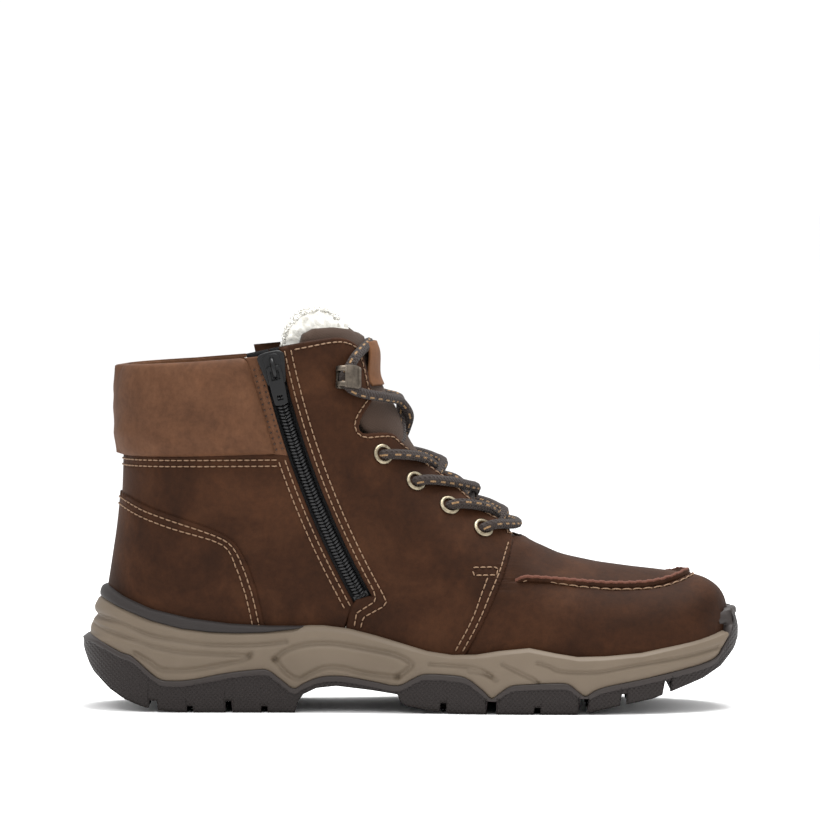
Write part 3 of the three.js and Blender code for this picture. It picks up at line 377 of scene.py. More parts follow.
def panel(name, outline, material, thickness=LEATHER, lift=0.0, edge=1.0, grain=2.4, puff=None, lines=()):
    """A piece of leather cut to a closed outline in surface coordinates, with rolled edges.
    lines are stitch rows that pull the leather in, and puff(distance, points) adds height."""
    outline = np.array(outline, float)
    area = np.sum(outline[:, 0] * np.roll(outline[:, 1], -1) - np.roll(outline[:, 0], -1) * outline[:, 1])
    if area < 0:
        outline = outline[::-1]
    keep = np.linalg.norm(np.roll(outline, -1, 0) - outline, axis=1) > 1e-7
    outline = outline[keep]
    scale = metric(outline)
    ahead = (np.roll(outline, -1, 0) - np.roll(outline, 1, 0)) * scale
    ahead /= np.linalg.norm(ahead, axis=1, keepdims=True) + 1e-9
    inward = np.stack([-ahead[:, 1], ahead[:, 0]], axis=1)
    points = [outline]
    for depth in (0.3, 0.8, 1.6, 3.0):
        points.append(outline + inward * depth / scale)
    for line in lines:
        for across in (-1.0, -0.35, 0.35, 1.0):
            points.append(beside(line, across))
    low, high = outline.min(0), outline.max(0)
    middle = metric((low + high)[None] / 2)[0]
    us = np.arange(low[0], high[0], grain / middle[0])
    vs = np.arange(low[1], high[1], grain / middle[1])
    points.append(np.stack(np.meshgrid(us, vs), axis=-1).reshape(-1, 2))
    inside = [p[contains(outline, p)] for p in points[1:]]
    everything = np.concatenate([outline] + inside)
    stretch = middle / middle.max()
    edges = [(i, (i + 1) % len(outline)) for i in range(len(outline))]
    made = delaunay_2d_cdt([Vector(p) for p in (everything * stretch * 100).tolist()], edges, [], 1, 1e-5)
    uv = np.array([list(p) for p in made[0]]) / 100 / stretch
    faces = np.array([f for f in made[2] if len(f) == 3])
    base = surface(uv[:, 0], uv[:, 1])
    n = normals(uv[:, 0], uv[:, 1])
    rim = surface(outline[:, 0], outline[:, 1])
    distance = rim_distance(base, rim)
    roll = np.sqrt(np.clip(1 - (1 - np.clip(distance / edge, 0, 1)) ** 2, 0, 1))
    if callable(lift):
        lift = lift(base)
    top = lift - thickness * 0.35 * (1 - roll)
    if puff:
        top = top + puff(distance, base)
    for line in lines:
        away = rim_distance(base, surface(line[:, 0], line[:, 1]))
        top = top - 0.34 * np.exp(-((away / 0.6) ** 2))
    outer = base + n * top[:, None]
    inner = base + n * np.broadcast_to(lift - thickness, distance.shape)[:, None]
    count = len(uv)
    flipped = faces[:, ::-1] + count
    sides = boundary_walls(faces, count)
    return make(name, np.concatenate([outer, inner]), list(faces) + list(flipped) + sides, material)


def metric(uv):
    """Millimetres per unit of u and v at surface coordinates."""
    step = 0.004
    u, v = uv[:, 0], np.clip(uv[:, 1], step, 1 - step)
    du = np.linalg.norm(surface(u + step, v) - surface(u - step, v), axis=-1) / (2 * step)
    dv = np.linalg.norm(surface(u, v + step) - surface(u, v - step), axis=-1) / (2 * step)
    return np.maximum(np.stack([du, dv], axis=1), 8)


def beside(line, across):
    """A line in surface coordinates moved sideways by millimetres."""
    scale = metric(line)
    ahead = np.gradient(line, axis=0) * scale
    ahead /= np.linalg.norm(ahead, axis=1, keepdims=True) + 1e-9
    return line + np.stack([-ahead[:, 1], ahead[:, 0]], axis=1) * across / scale


def contains(outline, points):
    """Which points lie inside a closed outline."""
    x, y = points[:, 0], points[:, 1]
    inside = np.zeros(len(points), bool)
    for (ax, ay), (bx, by) in zip(outline, np.roll(outline, -1, 0)):
        if ay == by:
            continue
        crosses = (ay > y) != (by > y)
        inside ^= crosses & (x < (bx - ax) * (y - ay) / (by - ay) + ax)
    return inside


def rim_distance(points, rim):
    """How far each point is from the nearest point of a rim."""
    best = np.full(len(points), 1e9)
    for start in range(0, len(rim), 64):
        part = rim[start : start + 64]
        best = np.minimum(best, np.linalg.norm(points[:, None] - part[None], axis=2).min(1))
    return best


def boundary_walls(faces, count):
    """The walls that join an outer skin's open edges to an inner skin, count vertices further on."""
    seen = {}
    for f in faces:
        for a, b in ((f[0], f[1]), (f[1], f[2]), (f[2], f[0])):
            seen[(a, b)] = True
    return [[b, a, a + count, b + count] for a, b in seen if (b, a) not in seen]


def tube(name, path, radius, material, body="boot", sides=12, normal=None, profile=None):
    """A round or ribbed tube along points, with its UVs round and along it."""
    path = np.array(path, float)
    ahead = np.gradient(path, axis=0)
    ahead /= np.linalg.norm(ahead, axis=1, keepdims=True)
    side = np.cross(ahead[0], [0.3, 0.2, 0.9])
    rings = []
    for p, t in zip(path, ahead):
        side = side - t * side.dot(t)
        side /= np.linalg.norm(side)
        up = np.cross(t, side)
        angle = np.linspace(0, 2 * math.pi, sides, endpoint=False)
        r = radius * (profile(angle) if profile else 1)
        rings.append(p + (np.cos(angle) * r)[:, None] * side + (np.sin(angle) * r)[:, None] * up)
    verts = np.concatenate(rings)
    faces = list(grid_faces(len(path), sides, wrap=True))
    faces += [list(range(sides))[::-1], [len(verts) - sides + k for k in range(sides)]]
    obj = make(name, verts, faces, material, body)
    lengths = np.concatenate([[0], np.cumsum(np.linalg.norm(np.diff(path, axis=0), axis=1))])
    layer = obj.data.uv_layers.new(name="along")
    for loop in obj.data.loops:
        ring, k = divmod(loop.vertex_index, sides)
        layer.data[loop.index].uv = (k / sides, lengths[ring] / 10)
    return obj


def capsules(name, starts, ends, radius, ups, material, body="boot"):
    """Many short round-ended threads, from point to point, bowed a little away from the surface."""
    sides, rings = 6, [(-0.1, 0.25), (0.06, 0.9), (0.3, 1), (0.7, 1), (0.94, 0.9), (1.1, 0.25)]
    verts, faces = [], []
    for a, b, up in zip(starts, ends, ups):
        ahead = b - a
        t = ahead / np.linalg.norm(ahead)
        side = np.cross(t, up)
        side /= np.linalg.norm(side)
        first = len(verts)
        for at, r in rings:
            middle = a + ahead * at + up * radius * (1.3 * math.sin(math.pi * np.clip(at, 0, 1)) - 0.5)
            for k in range(sides):
                angle = 2 * math.pi * k / sides
                verts.append(middle + radius * r * (math.cos(angle) * side + math.sin(angle) * up))
        for j in range(len(rings) - 1):
            for k in range(sides):
                d = (k + 1) % sides
                low, high = first + j * sides, first + (j + 1) * sides
                faces.append([low + k, low + d, high + d, high + k])
        faces.append([first + k for k in range(sides)][::-1])
        faces.append([first + (len(rings) - 1) * sides + k for k in range(sides)])
    return make(name, verts, faces, material, body)


# ---- Materials ----
def material(name, color, roughness=0.7, metallic=0.0, sheen=0.0, sheen_tint=(1, 1, 1), specular=0.5):
    m = bpy.data.materials.new(name)
    m.use_nodes = True
    shader = m.node_tree.nodes["Principled BSDF"]
    shader.inputs["Base Color"].default_value = (*color, 1)
    shader.inputs["Roughness"].default_value = roughness
    shader.inputs["Metallic"].default_value = metallic
    shader.inputs["Sheen Weight"].default_value = sheen
    shader.inputs["Sheen Tint"].default_value = (*sheen_tint, 1)
    shader.inputs["Specular IOR Level"].default_value = specular
    return m


def noise(m, scale, detail=6.0, roughness=0.6, stretch=(1, 1, 1), distortion=0.0):
    """Noise over the object's own coordinates, in detail per metre."""
    nodes, links = m.node_tree.nodes, m.node_tree.links
    place = nodes.new("ShaderNodeTexCoord")
    mapping = nodes.new("ShaderNodeMapping")
    mapping.inputs["Scale"].default_value = stretch
    links.new(place.outputs["Object"], mapping.inputs["Vector"])
    texture = nodes.new("ShaderNodeTexNoise")
    texture.inputs["Scale"].default_value = scale
    texture.inputs["Detail"].default_value = detail
    texture.inputs["Roughness"].default_value = roughness
    texture.inputs["Distortion"].default_value = distortion
    links.new(mapping.outputs["Vector"], texture.inputs["Vector"])
    return texture.outputs["Fac"]


def ramp(m, value, stops):
    node = m.node_tree.nodes.new("ShaderNodeValToRGB")
    elements = node.color_ramp.elements
    while len(elements) < len(stops):
        elements.new(0.5)
    for element, (at, color) in zip(elements, stops):
        element.position = at
        element.color = (*color, 1)
    m.node_tree.links.new(value, node.inputs["Fac"])
    return node.outputs["Color"]


def blended(m, a, b, factor, mode="MIX"):
    node = m.node_tree.nodes.new("ShaderNodeMix")
    node.data_type = "RGBA"
    node.blend_type = mode
    links = m.node_tree.links
    for socket, value in ((node.inputs["Factor"], factor), (node.inputs["A"], a), (node.inputs["B"], b)):
        if isinstance(value, bpy.types.NodeSocket):
            links.new(value, socket)
        elif isinstance(value, (tuple, list)):
            socket.default_value = (*value, 1)
        else:
            socket.default_value = value
    return node.outputs["Result"]


def paint(m, color=None, bumps=()):
    """Links a colour, and a chain of bumps given as (height socket, distance in mm, strength)."""
    nodes, links = m.node_tree.nodes, m.node_tree.links
    shader = nodes["Principled BSDF"]
    if color is not None:
        links.new(color, shader.inputs["Base Color"])
    last = None
    for height, distance, strength in bumps:
        bump = nodes.new("ShaderNodeBump")
        bump.inputs["Distance"].default_value = distance / 1000
        bump.inputs["Strength"].default_value = strength
        links.new(height, bump.inputs["Height"])
        if last:
            links.new(last, bump.inputs["Normal"])
        last = bump.outputs["Normal"]
    if last:
        links.new(last, shader.inputs["Normal"])
    return m


def nubuck(name, dark, middle, light):
    m = material(name, middle, roughness=0.66, sheen=0.02, sheen_tint=light, specular=0.09)
    clouds = ramp(m, noise(m, 26, 5, 0.62, distortion=0.6), [(0.3, dark), (0.5, middle), (0.72, light)])
    specks = ramp(m, noise(m, 340, 4, 0.7), [(0.32, (0.5, 0.5, 0.5)), (0.6, (1, 1, 1))])
    scuffs = ramp(m, noise(m, 95, 6, 0.72, (1, 1, 0.5), 1.2), [(0.5, (1, 1, 1)), (0.76, (1.28, 1.24, 1.2))])
    color = blended(m, clouds, specks, 0.42, "MULTIPLY")
    color = blended(m, color, scuffs, 0.7, "MULTIPLY")
    return paint(m, color, [(noise(m, 130, 6, 0.65), 0.5, 0.32), (noise(m, 900, 5, 0.7), 0.16, 0.5)])


LEATHER_LOOK = nubuck(
    "leather_nubuck", (0.0165, 0.006, 0.0023), (0.0295, 0.0106, 0.004), (0.049, 0.0188, 0.0076)
)
COLLAR_LOOK = nubuck(
    "collar_nubuck", (0.058, 0.026, 0.0135), (0.086, 0.0385, 0.0195), (0.112, 0.052, 0.027)
)
RAW_LOOK = material("leather_edge", (0.085, 0.024, 0.01), 0.85)
paint(RAW_LOOK, bumps=[(noise(RAW_LOOK, 900, 4), 0.2, 0.6)])
LABEL_LOOK = nubuck("label_nubuck", (0.1, 0.044, 0.02), (0.13, 0.058, 0.027), (0.16, 0.076, 0.036))
THREAD_LOOK = material("thread", (0.2, 0.122, 0.072), 0.6, specular=0.3)
paint(THREAD_LOOK, bumps=[(noise(THREAD_LOOK, 1500, 2, 0.5, (1, 1, 0.4)), 0.1, 0.8)])
MIDSOLE_LOOK = material("midsole_foam", (0.28, 0.215, 0.148), 0.62, specular=0.35)
tone = ramp(
    MIDSOLE_LOOK,
    noise(MIDSOLE_LOOK, 22, 4),
    [(0.3, (0.098, 0.073, 0.049)), (0.7, (0.12, 0.091, 0.063))],
)
paint(MIDSOLE_LOOK, tone, [(noise(MIDSOLE_LOOK, 1300, 3), 0.12, 0.35)])
OUTSOLE_LOOK = material("outsole_rubber", (0.0165, 0.0128, 0.0118), 0.6, specular=0.2)
RIM_LOOK = material("outsole_rim", (0.0245, 0.019, 0.0172), 0.5, specular=0.25)
paint(RIM_LOOK, bumps=[(noise(RIM_LOOK, 900, 3), 0.08, 0.3)])
RAND_LOOK = material("rand_rubber", (0.0215, 0.0178, 0.0168), 0.6, specular=0.2)
paint(RAND_LOOK, bumps=[(noise(RAND_LOOK, 900, 3), 0.08, 0.35)])
SOFTSHELL_LOOK = material("softshell", (0.045, 0.0285, 0.0208), 0.8, sheen=0.03, specular=0.1)
FLEECE_LOOK = material("fleece", (0.66, 0.64, 0.58), 0.95, sheen=0.1, specular=0.05)
fluff = ramp(
    FLEECE_LOOK, noise(FLEECE_LOOK, 260, 6, 0.7), [(0.3, (0.55, 0.53, 0.47)), (0.6, (0.7, 0.69, 0.65))]
)
paint(FLEECE_LOOK, fluff, [(noise(FLEECE_LOOK, 420, 6, 0.75), 0.7, 0.5)])
ZIP_LOOK = material("zip_plastic", (0.005, 0.005, 0.0055), 0.42, specular=0.4)
TAPE_LOOK = material("zip_tape", (0.005, 0.005, 0.0055), 0.85, sheen=0.05, specular=0.2)
SLIDER_LOOK = material("zip_slider_black", (0.004, 0.004, 0.0043), 0.3, specular=0.25)
paint(SLIDER_LOOK, bumps=[(noise(SLIDER_LOOK, 500, 3), 0.05, 0.3)])
BRASS_LOOK = material("antique_brass", (0.3, 0.255, 0.175), 0.4, metallic=1)
patina = ramp(
    BRASS_LOOK, noise(BRASS_LOOK, 420, 5), [(0.35, (0.15, 0.12, 0.08)), (0.55, (0.32, 0.275, 0.195))]
)
paint(BRASS_LOOK, patina, [(noise(BRASS_LOOK, 700, 3), 0.05, 0.4)])
GUN_LOOK = material("gunmetal", (0.1, 0.085, 0.07), 0.5, metallic=1)
dull = ramp(GUN_LOOK, noise(GUN_LOOK, 300, 5), [(0.3, (0.045, 0.038, 0.031)), (0.6, (0.12, 0.1, 0.08))])
paint(GUN_LOOK, dull, [(noise(GUN_LOOK, 700, 3), 0.06, 0.4)])
LACE_LOOK = material("lace_braid", (0.03, 0.022, 0.019), 0.85, sheen=0.05, specular=0.2)


def weave(m, along, round_, color, fleck):
    """A braid drawn from the tube's own UVs: crossing ribs, and paired flecks down one strand."""
    nodes, links = m.node_tree.nodes, m.node_tree.links
    uv = nodes.new("ShaderNodeUVMap")
    split = nodes.new("ShaderNodeSeparateXYZ")
    links.new(uv.outputs["UV"], split.inputs["Vector"])

    def mathed(operation, a, b=None):
        node = nodes.new("ShaderNodeMath")
        node.operation = operation
        for socket, value in zip(node.inputs, (a, b)):
            if isinstance(value, bpy.types.NodeSocket):
                links.new(value, socket)
            elif value is not None:
                socket.default_value = value
        return node.outputs["Value"]

    around = mathed("MULTIPLY", split.outputs["X"], round_ * 2 * math.pi)
    down = mathed("MULTIPLY", split.outputs["Y"], along * 2 * math.pi)
    left = mathed("SINE", mathed("ADD", around, down))
    right = mathed("SINE", mathed("SUBTRACT", around, down))
    ribs = mathed("MAXIMUM", left, right)
    strand = mathed(
        "GREATER_THAN", mathed("SINE", mathed("MULTIPLY", split.outputs["X"], 6 * math.pi)), 0.84
    )
    dash = mathed(
        "GREATER_THAN", mathed("SINE", mathed("MULTIPLY", split.outputs["Y"], 2 * math.pi * 1.9)), 0.0
    )
    marked = mathed("MULTIPLY", strand, dash)
    paint(m, blended(m, color, fleck, marked), [(ribs, 0.35, 0.9), (noise(m, 1400, 3), 0.15, 0.6)])


weave(LACE_LOOK, 5.5, 5, (0.03, 0.022, 0.019), (0.24, 0.145, 0.07))


BANDS = 0.314  # a wave texture's scale for one band in each metre


def pattern_bump(m, kind, size_mm, depth, strength, base=()):
    """A repeating relief over the object's coordinates: diamonds for rubber, a fine check for cloth."""
    nodes, links = m.node_tree.nodes, m.node_tree.links
    place = nodes.new("ShaderNodeTexCoord")
    mapping = nodes.new("ShaderNodeMapping")
    mapping.inputs["Rotation"].default_value = (0, math.radians(45 if kind == "diamond" else 20), 0)
    links.new(place.outputs["Object"], mapping.inputs["Vector"])
    waves = []
    for direction in ("X", "Z"):
        wave = nodes.new("ShaderNodeTexWave")
        wave.bands_direction = direction
        wave.inputs["Scale"].default_value = BANDS * 1000 / size_mm
        links.new(mapping.outputs["Vector"], wave.inputs["Vector"])
        waves.append(wave.outputs["Fac"])
    join = nodes.new("ShaderNodeMath")
    join.operation = "MULTIPLY"
    links.new(waves[0], join.inputs[0])
    links.new(waves[1], join.inputs[1])
    paint(m, None, [*base, (join.outputs["Value"], depth, strength)])


pattern_bump(OUTSOLE_LOOK, "diamond", 1.5, 0.4, 0.9)
pattern_bump(SOFTSHELL_LOOK, "check", 0.7, 0.14, 0.7)
pattern_bump(TAPE_LOOK, "check", 0.6, 0.14, 0.7)

# ---- Light and ground ----
bpy.context.scene.view_settings.view_transform = "Standard"
world = bpy.data.worlds.new("studio")
world.use_nodes = True
world.node_tree.nodes["Background"].inputs["Color"].default_value = (1, 1, 1, 1)
world.node_tree.nodes["Background"].inputs["Strength"].default_value = 1.06
bpy.context.scene.world = world


def softbox(name, place, size, power):
    light = bpy.data.objects.new(name, bpy.data.lights.new(name, "AREA"))
    light.data.shape = "RECTANGLE"
    light.data.size, light.data.size_y = size
    light.data.energy = power
    light.location = place
    light.rotation_euler = (Vector((0, 0, 0.08)) - Vector(place)).to_track_quat("-Z", "Y").to_euler()
    bpy.context.scene.collection.objects.link(light)


softbox("key", (-0.45, -0.9, 1.1), (0.7, 0.5), 5.4)
softbox("fill", (0.9, -1.1, 0.6), (0.9, 0.7), 1.5)
softbox("top", (0.1, 0.05, 1.3), (0.9, 0.7), 25)

FLOOR_LOOK = material("paper", (0.96, 0.96, 0.96), 0.9, specular=0.1)
size = 60.0  # metres, so that its edge never shows
ground = bpy.data.meshes.new("ground")
ground.from_pydata(
    [(-size, -size, 0), (size, -size, 0), (size, size, 0), (-size, size, 0)], [], [(0, 1, 2, 3)]
)
ground = bpy.data.objects.new("ground", ground)
ground.data.materials.append(FLOOR_LOOK)
bpy.context.scene.collection.objects.link(ground)

# ---- Zip frame ----
zip_a, zip_b, zip_c = (on_surface([p], -1)[0][0] for p in ZIP_POINTS)
to_b, to_c = zip_b - zip_a, zip_c - zip_a
ZIP_OUT = np.cross(to_c, to_b)
ZIP_OUT /= np.linalg.norm(ZIP_OUT)
ZIP_OUT = ZIP_OUT if ZIP_OUT[1] < 0 else -ZIP_OUT
flat = np.cross(to_b, to_c)
to_centre = np.cross(flat, to_b) * to_c.dot(to_c) + np.cross(to_c, flat) * to_b.dot(to_b)
ZIP_CENTRE = zip_a + to_centre / (2 * flat.dot(flat))
ZIP_RADIUS = np.linalg.norm(zip_a - ZIP_CENTRE)
ZIP_START = (zip_a - ZIP_CENTRE) / ZIP_RADIUS
ZIP_TURN = np.cross(ZIP_START, zip_c - ZIP_CENTRE)
ZIP_TURN /= np.linalg.norm(ZIP_TURN)


def on_zip(along, across, height):
    """A point by distance down the zip, distance to the heel side, and height outwards."""
    angle = np.asarray(along, float) / ZIP_RADIUS
    radial = np.cos(angle)[..., None] * ZIP_START + np.sin(angle)[..., None] * np.cross(ZIP_TURN, ZIP_START)
    return ZIP_CENTRE + radial * (ZIP_RADIUS + np.asarray(across, float))[..., None] + ZIP_OUT * height


def zip_line(across, start=0.0, end=ZIP_LENGTH, count=40):
    return on_zip(np.linspace(start, end, count), np.full(count, float(across)), 0)[:, [0, 2]]


# ---- Leather panels ----
def foot_line(start, end):
    """The upper's lower edge, tucked a little into the sole."""
    return [[x, float(np.interp(x, *np.array(FEATHER).T)) - 5] for x in np.linspace(start, end, 40)]


window_rear = zip_line(ZIP_WINDOW, -1)
window_front = zip_line(-ZIP_WINDOW, -4)
heel_base = foot_line(11.4, 86)
side_front = [[123.6, 46]] + window_rear[::-1][:27].tolist() + [[88, 118.6]]
side_half = outline_uv(foot_line(11.4, 119) + side_front + COLLAR_SEAM[::-1][1:-1] + [[18.1, 117.3]])
side_half[0, 0] = side_half[-1, 0] = 0
heel_half = outline_uv(heel_base + rounded(HEEL_SEAM, 4)[::-1][3:].tolist())
heel_half[0, 0] = heel_half[-1, 0] = 0
collar_half = outline_uv(
    [
        [18.1, 116.6], [52, 117.2], [80, 118], [89.4, 118.4], [83.8, 139], [78.2, 158], [76.4, 161.4],
        [73.6, 162.2], [50, 160.4], [19, 158.8],
    ]
)
collar_half[0, 0] = collar_half[-1, 0] = 0

collar_rows = [[[18.4, z], [50, z + 0.4], [92, z + 0.7]] for z in (115.1, 112.3)]
row_uv = lambda points, pitch=1.1: coordinates(resample(points, pitch))
both = lambda line: [line, np.stack([-line[:, 0], line[:, 1]], axis=1)]
side_lines = [line for row in collar_rows for line in both(row_uv(row))]
zip_rear_rows = [row_uv(zip_line(a, 46, 119)) for a in (6.4, 9.3)]
side = panel(
    "side_panel_leather",
    mirrored(side_half, 0),
    LEATHER_LOOK,
    lift=SIDE_LIFT,
    lines=side_lines + zip_rear_rows,
)
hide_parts("side_panel")

heel_edge = outline_uv(rounded(HEEL_SEAM, 4)[3:])
heel_rows = [row[row[:, 0] > 0.004] for row in (beside(heel_edge, -2.6), beside(heel_edge, -5.6))]
heel_lines = [line for row in heel_rows for line in both(row)]
heel = panel(
    "heel_overlay_leather",
    mirrored(heel_half, 0),
    LEATHER_LOOK,
    lift=HEEL_LIFT,
    edge=0.8,
    lines=heel_lines,
)
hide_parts("heel_overlay")


def wrinkle(p):
    """Long shallow wrinkles of worn leather."""
    x, y, z = p.T
    return 0.35 * np.sin(x * 0.31 + 2.2 * np.sin(z * 0.2)) * np.sin(z * 0.23 + y * 0.15)


def collar_puff(distance, p):
    crown = 1 - (1 - np.clip(distance / 13, 0, 1)) ** 2
    return 4.4 * crown**0.62 + wrinkle(p) * np.clip(distance / 10, 0, 1)


collar = panel(
    "collar_padding",
    mirrored(collar_half, 0),
    COLLAR_LOOK,
    lift=COLLAR_LIFT,
    grain=2.0,
    puff=collar_puff,
)
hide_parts("collar_cover")

strip_outline = outline_uv(
    [[75.4, 162.4], [84.4, 163.4]] + zip_line(ZIP_WINDOW, 2, 45, 14).tolist() + [[87.2, 118.6]]
)
strip_rows = [row_uv(zip_line(a, 3, 43)) for a in (5.8, 8.6)]
strip = panel("zip_facing_leather", strip_outline, COLLAR_LOOK, lift=STRIP_LIFT, edge=0.8, lines=strip_rows)
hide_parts("zip_facing")

quarter_edge = rounded(QUARTER_TOP[1:] + FACING, 3).tolist()
quarter_foot = foot_line(120.5, 175)
under_zip = [[132.4, 53.4], [126, 51.4], [123.4, 47.6], [121.6, 39]]
quarter_front = quarter_foot + rounded(VAMP_SEAM, 3)[::-1].tolist() + quarter_edge[::-1] + [[95, 168.2]]
inner_outline = outline_uv(window_front.tolist() + under_zip + quarter_front)
outer_back = zip_line(OUTER_BACK, -6)
outer_outline = outline_uv(outer_back.tolist() + under_zip[3:] + quarter_front)
outer_outline[:, 0] = 2 - outer_outline[:, 0]

inset_edge = row_uv([[97, 168.4]] + quarter_edge[2:] + [[197, 80]])
edge_row = beside(inset_edge, -2.3)
vamp_row = beside(row_uv(rounded(VAMP_SEAM, 4)[2:-3]), -2.0)
vamp_second = beside(row_uv(rounded(VAMP_SEAM, 4)[9:-3]), -5.0)
v_rows = [
    row_uv(zip_line(-6.6, -2, 118).tolist() + [[135.4, 51.2], [126.4, 45.4], [125.2, 38]]),
    row_uv(zip_line(-9.5, -2, 120.5).tolist() + [[140.2, 50.8], [138.8, 48.6], [129.4, 43.4], [128, 37]]),
]
bartack = row_uv([[179.4, 66.3], [190.6, 66.3], [190.6, 62.8], [179.4, 62.8], [179.4, 66.3]])
quarter_rows = [edge_row, vamp_row, vamp_second]
over_side = lambda line: np.stack([2 - line[:, 0], line[:, 1]], axis=1)
inner_lines = quarter_rows + v_rows + [bartack]
inner = panel(
    "quarter_inner_leather", inner_outline, LEATHER_LOOK, lift=QUARTER_LIFT, edge=0.9, lines=inner_lines
)
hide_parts("front_quarter_inner")
outer_rows = [row_uv(zip_line(OUTER_BACK - a, 0, 118)) for a in (2.2, 5.0)]
outer_lines = [over_side(line) for line in quarter_rows + outer_rows + [bartack]]
outer = panel(
    "quarter_outer_leather", outer_outline, LEATHER_LOOK, lift=QUARTER_LIFT, edge=0.9, lines=outer_lines
)
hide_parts("front_quarter_outer")

toe_foot = foot_line(171, 297.4)
behind_seam = [[x - 4, z] for x, z in VAMP_SEAM]
vamp_half = outline_uv(toe_foot[::-1] + behind_seam[::-1] + [[199, 80.4], [201.6, 79.6]])
vamp_half[0, 0] = 1
vamp_half = np.concatenate([vamp_half, [[1.0, coordinates([[203.7, 79.2]])[0, 1]]]])
moc_uv = row_uv(MOC)
moc_end = coordinates([[281.5, 62.0]])[0]
moc_uv = np.concatenate([moc_uv, [[1.0, moc_end[1]]]])
moc_full = np.concatenate([moc_uv, over_side(moc_uv)[::-1][1:]])
moc_stitch_uv = beside(moc_full, -3.0)


def toe_bulge(distance, p):
    return 0.5 * np.clip(distance / 6, 0, 1) + 0.5 * wrinkle(p) * (1 - smooth(232, 262, p[:, 0]))


vamp_lines = [beside(moc_full, -1.2), moc_stitch_uv]
vamp_outline = mirrored(vamp_half, 1)
vamp = panel(
    "vamp_leather",
    vamp_outline,
    LEATHER_LOOK,
    lift=VAMP_LIFT,
    grain=2.0,
    puff=toe_bulge,
    lines=vamp_lines,
)
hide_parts("vamp")


def fold(name, uv, profile, look):
    """A raised fold along a line in surface coordinates: profile is its section, as (across, height)."""
    base = surface(uv[:, 0], uv[:, 1])
    n = normals(uv[:, 0], uv[:, 1])
    ahead = np.gradient(base, axis=0)
    across = np.cross(n, ahead)
    across /= np.linalg.norm(across, axis=1, keepdims=True)
    fade = np.clip(np.minimum(np.arange(len(uv)), np.arange(len(uv))[::-1]) / 4, 0.12, 1)
    wave = 1 + 0.07 * np.sin(np.arange(len(uv)) * 0.9) + 0.05 * np.sin(np.arange(len(uv)) * 2.3)
    rings = [base + across * a + n * ((h + 0.5) * fade * wave - 0.5)[:, None] for a, h in profile]
    verts = np.stack(rings, axis=1).reshape(-1, 3)
    faces = list(grid_faces(len(uv), len(profile), wrap=True))
    faces += [list(range(len(profile)))[::-1], [len(verts) - len(profile) + k for k in range(len(profile))]]
    return make(name, verts, faces, look)


shares = np.linspace(0, 1, len(moc_full))
moc_dense = np.stack([np.interp(np.linspace(0, 1, 260), shares, column) for column in moc_full.T], axis=1)
fold_low = [(-1.7, -0.5), (-1.25, 0.6), (-1.0, 1.7), (-0.5, 2.2)]
fold_high = [(0.5, 2.25), (0.85, 1.5), (1.1, 0.5), (1.7, -0.5)]
fold("moc_fold", moc_dense, fold_low + fold_high, LEATHER_LOOK)
fold("moc_raw_edge", moc_dense, [(-0.75, 1.9), (-0.6, 2.55), (0.55, 2.6), (0.7, 1.9)], RAW_LOOK)

# ---- Stitching ----
threads = {"starts": [], "ends": [], "ups": []}
holes = {"starts": [], "ends": [], "ups": []}


def stitch(line, height, pitch=STITCH_PITCH, length=STITCH_LENGTH, store=threads):
    base = surface(line[:, 0], line[:, 1])
    lengths = np.concatenate([[0], np.cumsum(np.linalg.norm(np.diff(base, axis=0), axis=1))])
    for at in np.arange(0.4, lengths[-1] - length, pitch):
        jitter = RANDOM.uniform(-0.12, 0.12)
        ends = []
        for s in (at + jitter, at + jitter + length):
            uv = np.array([np.interp(s, lengths, line[:, 0]), np.interp(s, lengths, line[:, 1])])
            n = normals(uv[0], uv[1])
            ends.append(surface(uv[0], uv[1]) + n * height)
        store["starts"].append(ends[0])
        store["ends"].append(ends[1])
        store["ups"].append(n)


for row in map(row_uv, collar_rows):
    stitch(np.concatenate([both(row)[1][::-1], row]), SIDE_THREAD)
for row in heel_rows:
    stitch(np.concatenate([both(row)[1][::-1], row]), HEEL_THREAD)
for row in zip_rear_rows:
    stitch(row, SIDE_THREAD)
for row in quarter_rows + [bartack] + v_rows:
    stitch(row, QUARTER_THREAD)
for row in quarter_rows + [bartack] + outer_rows:
    stitch(over_side(row), QUARTER_THREAD)
stitch(moc_stitch_uv, VAMP_THREAD, pitch=4.9, length=3.9)
capsules("stitching", threads["starts"], threads["ends"], STITCH_RADIUS, threads["ups"], THREAD_LOOK)
for row in strip_rows:
    stitch(row, STRIP_HOLE, pitch=2.7, length=0.7, store=holes)
# Dark dots set over the zip facing's needle holes: their dark colour is painted shade for the holes'
# insides.
dark = material("needle_hole_painted_shade", (0.03, 0.014, 0.008), 0.9)
paint(dark, bumps=[(noise(dark, 900, 2), 0.05, 0.2)])
capsules("needle_hole_painted_shade", holes["starts"], holes["ends"], HOLE_RADIUS, holes["ups"], dark)

# ---- Tongue, fleece and label ----
tongue_side = [
    [203, 72], [192, 76], [180, 86], [166, 98], [152, 108], [141, 119], [130, 131], [121, 143],
    [111, 152], [103, 160], [101.6, 168], [103.6, 173.4], [109, 176.2], [118, 177], [125, 176.4],
    [129, 174],
]
tongue_half = outline_uv(tongue_side, 1.6)


def with_ends(half, first, last):
    """An inner half whose two ends are joined to the front line, level with two side-view points."""
    ends = [[[1.0, coordinates([point])[0, 1]]] for point in (first, last)]
    return np.concatenate([ends[0], half, ends[1]])


def tongue_puff(distance, p):
    z = p[:, 2]
    padding = 1.7 * (1 - (1 - np.clip(distance / 9, 0, 1)) ** 2) * smooth(146, 158, z)
    return padding + 0.5 * wrinkle(p) + 1.9 * np.exp(-(((z - 138) / 12) ** 2))


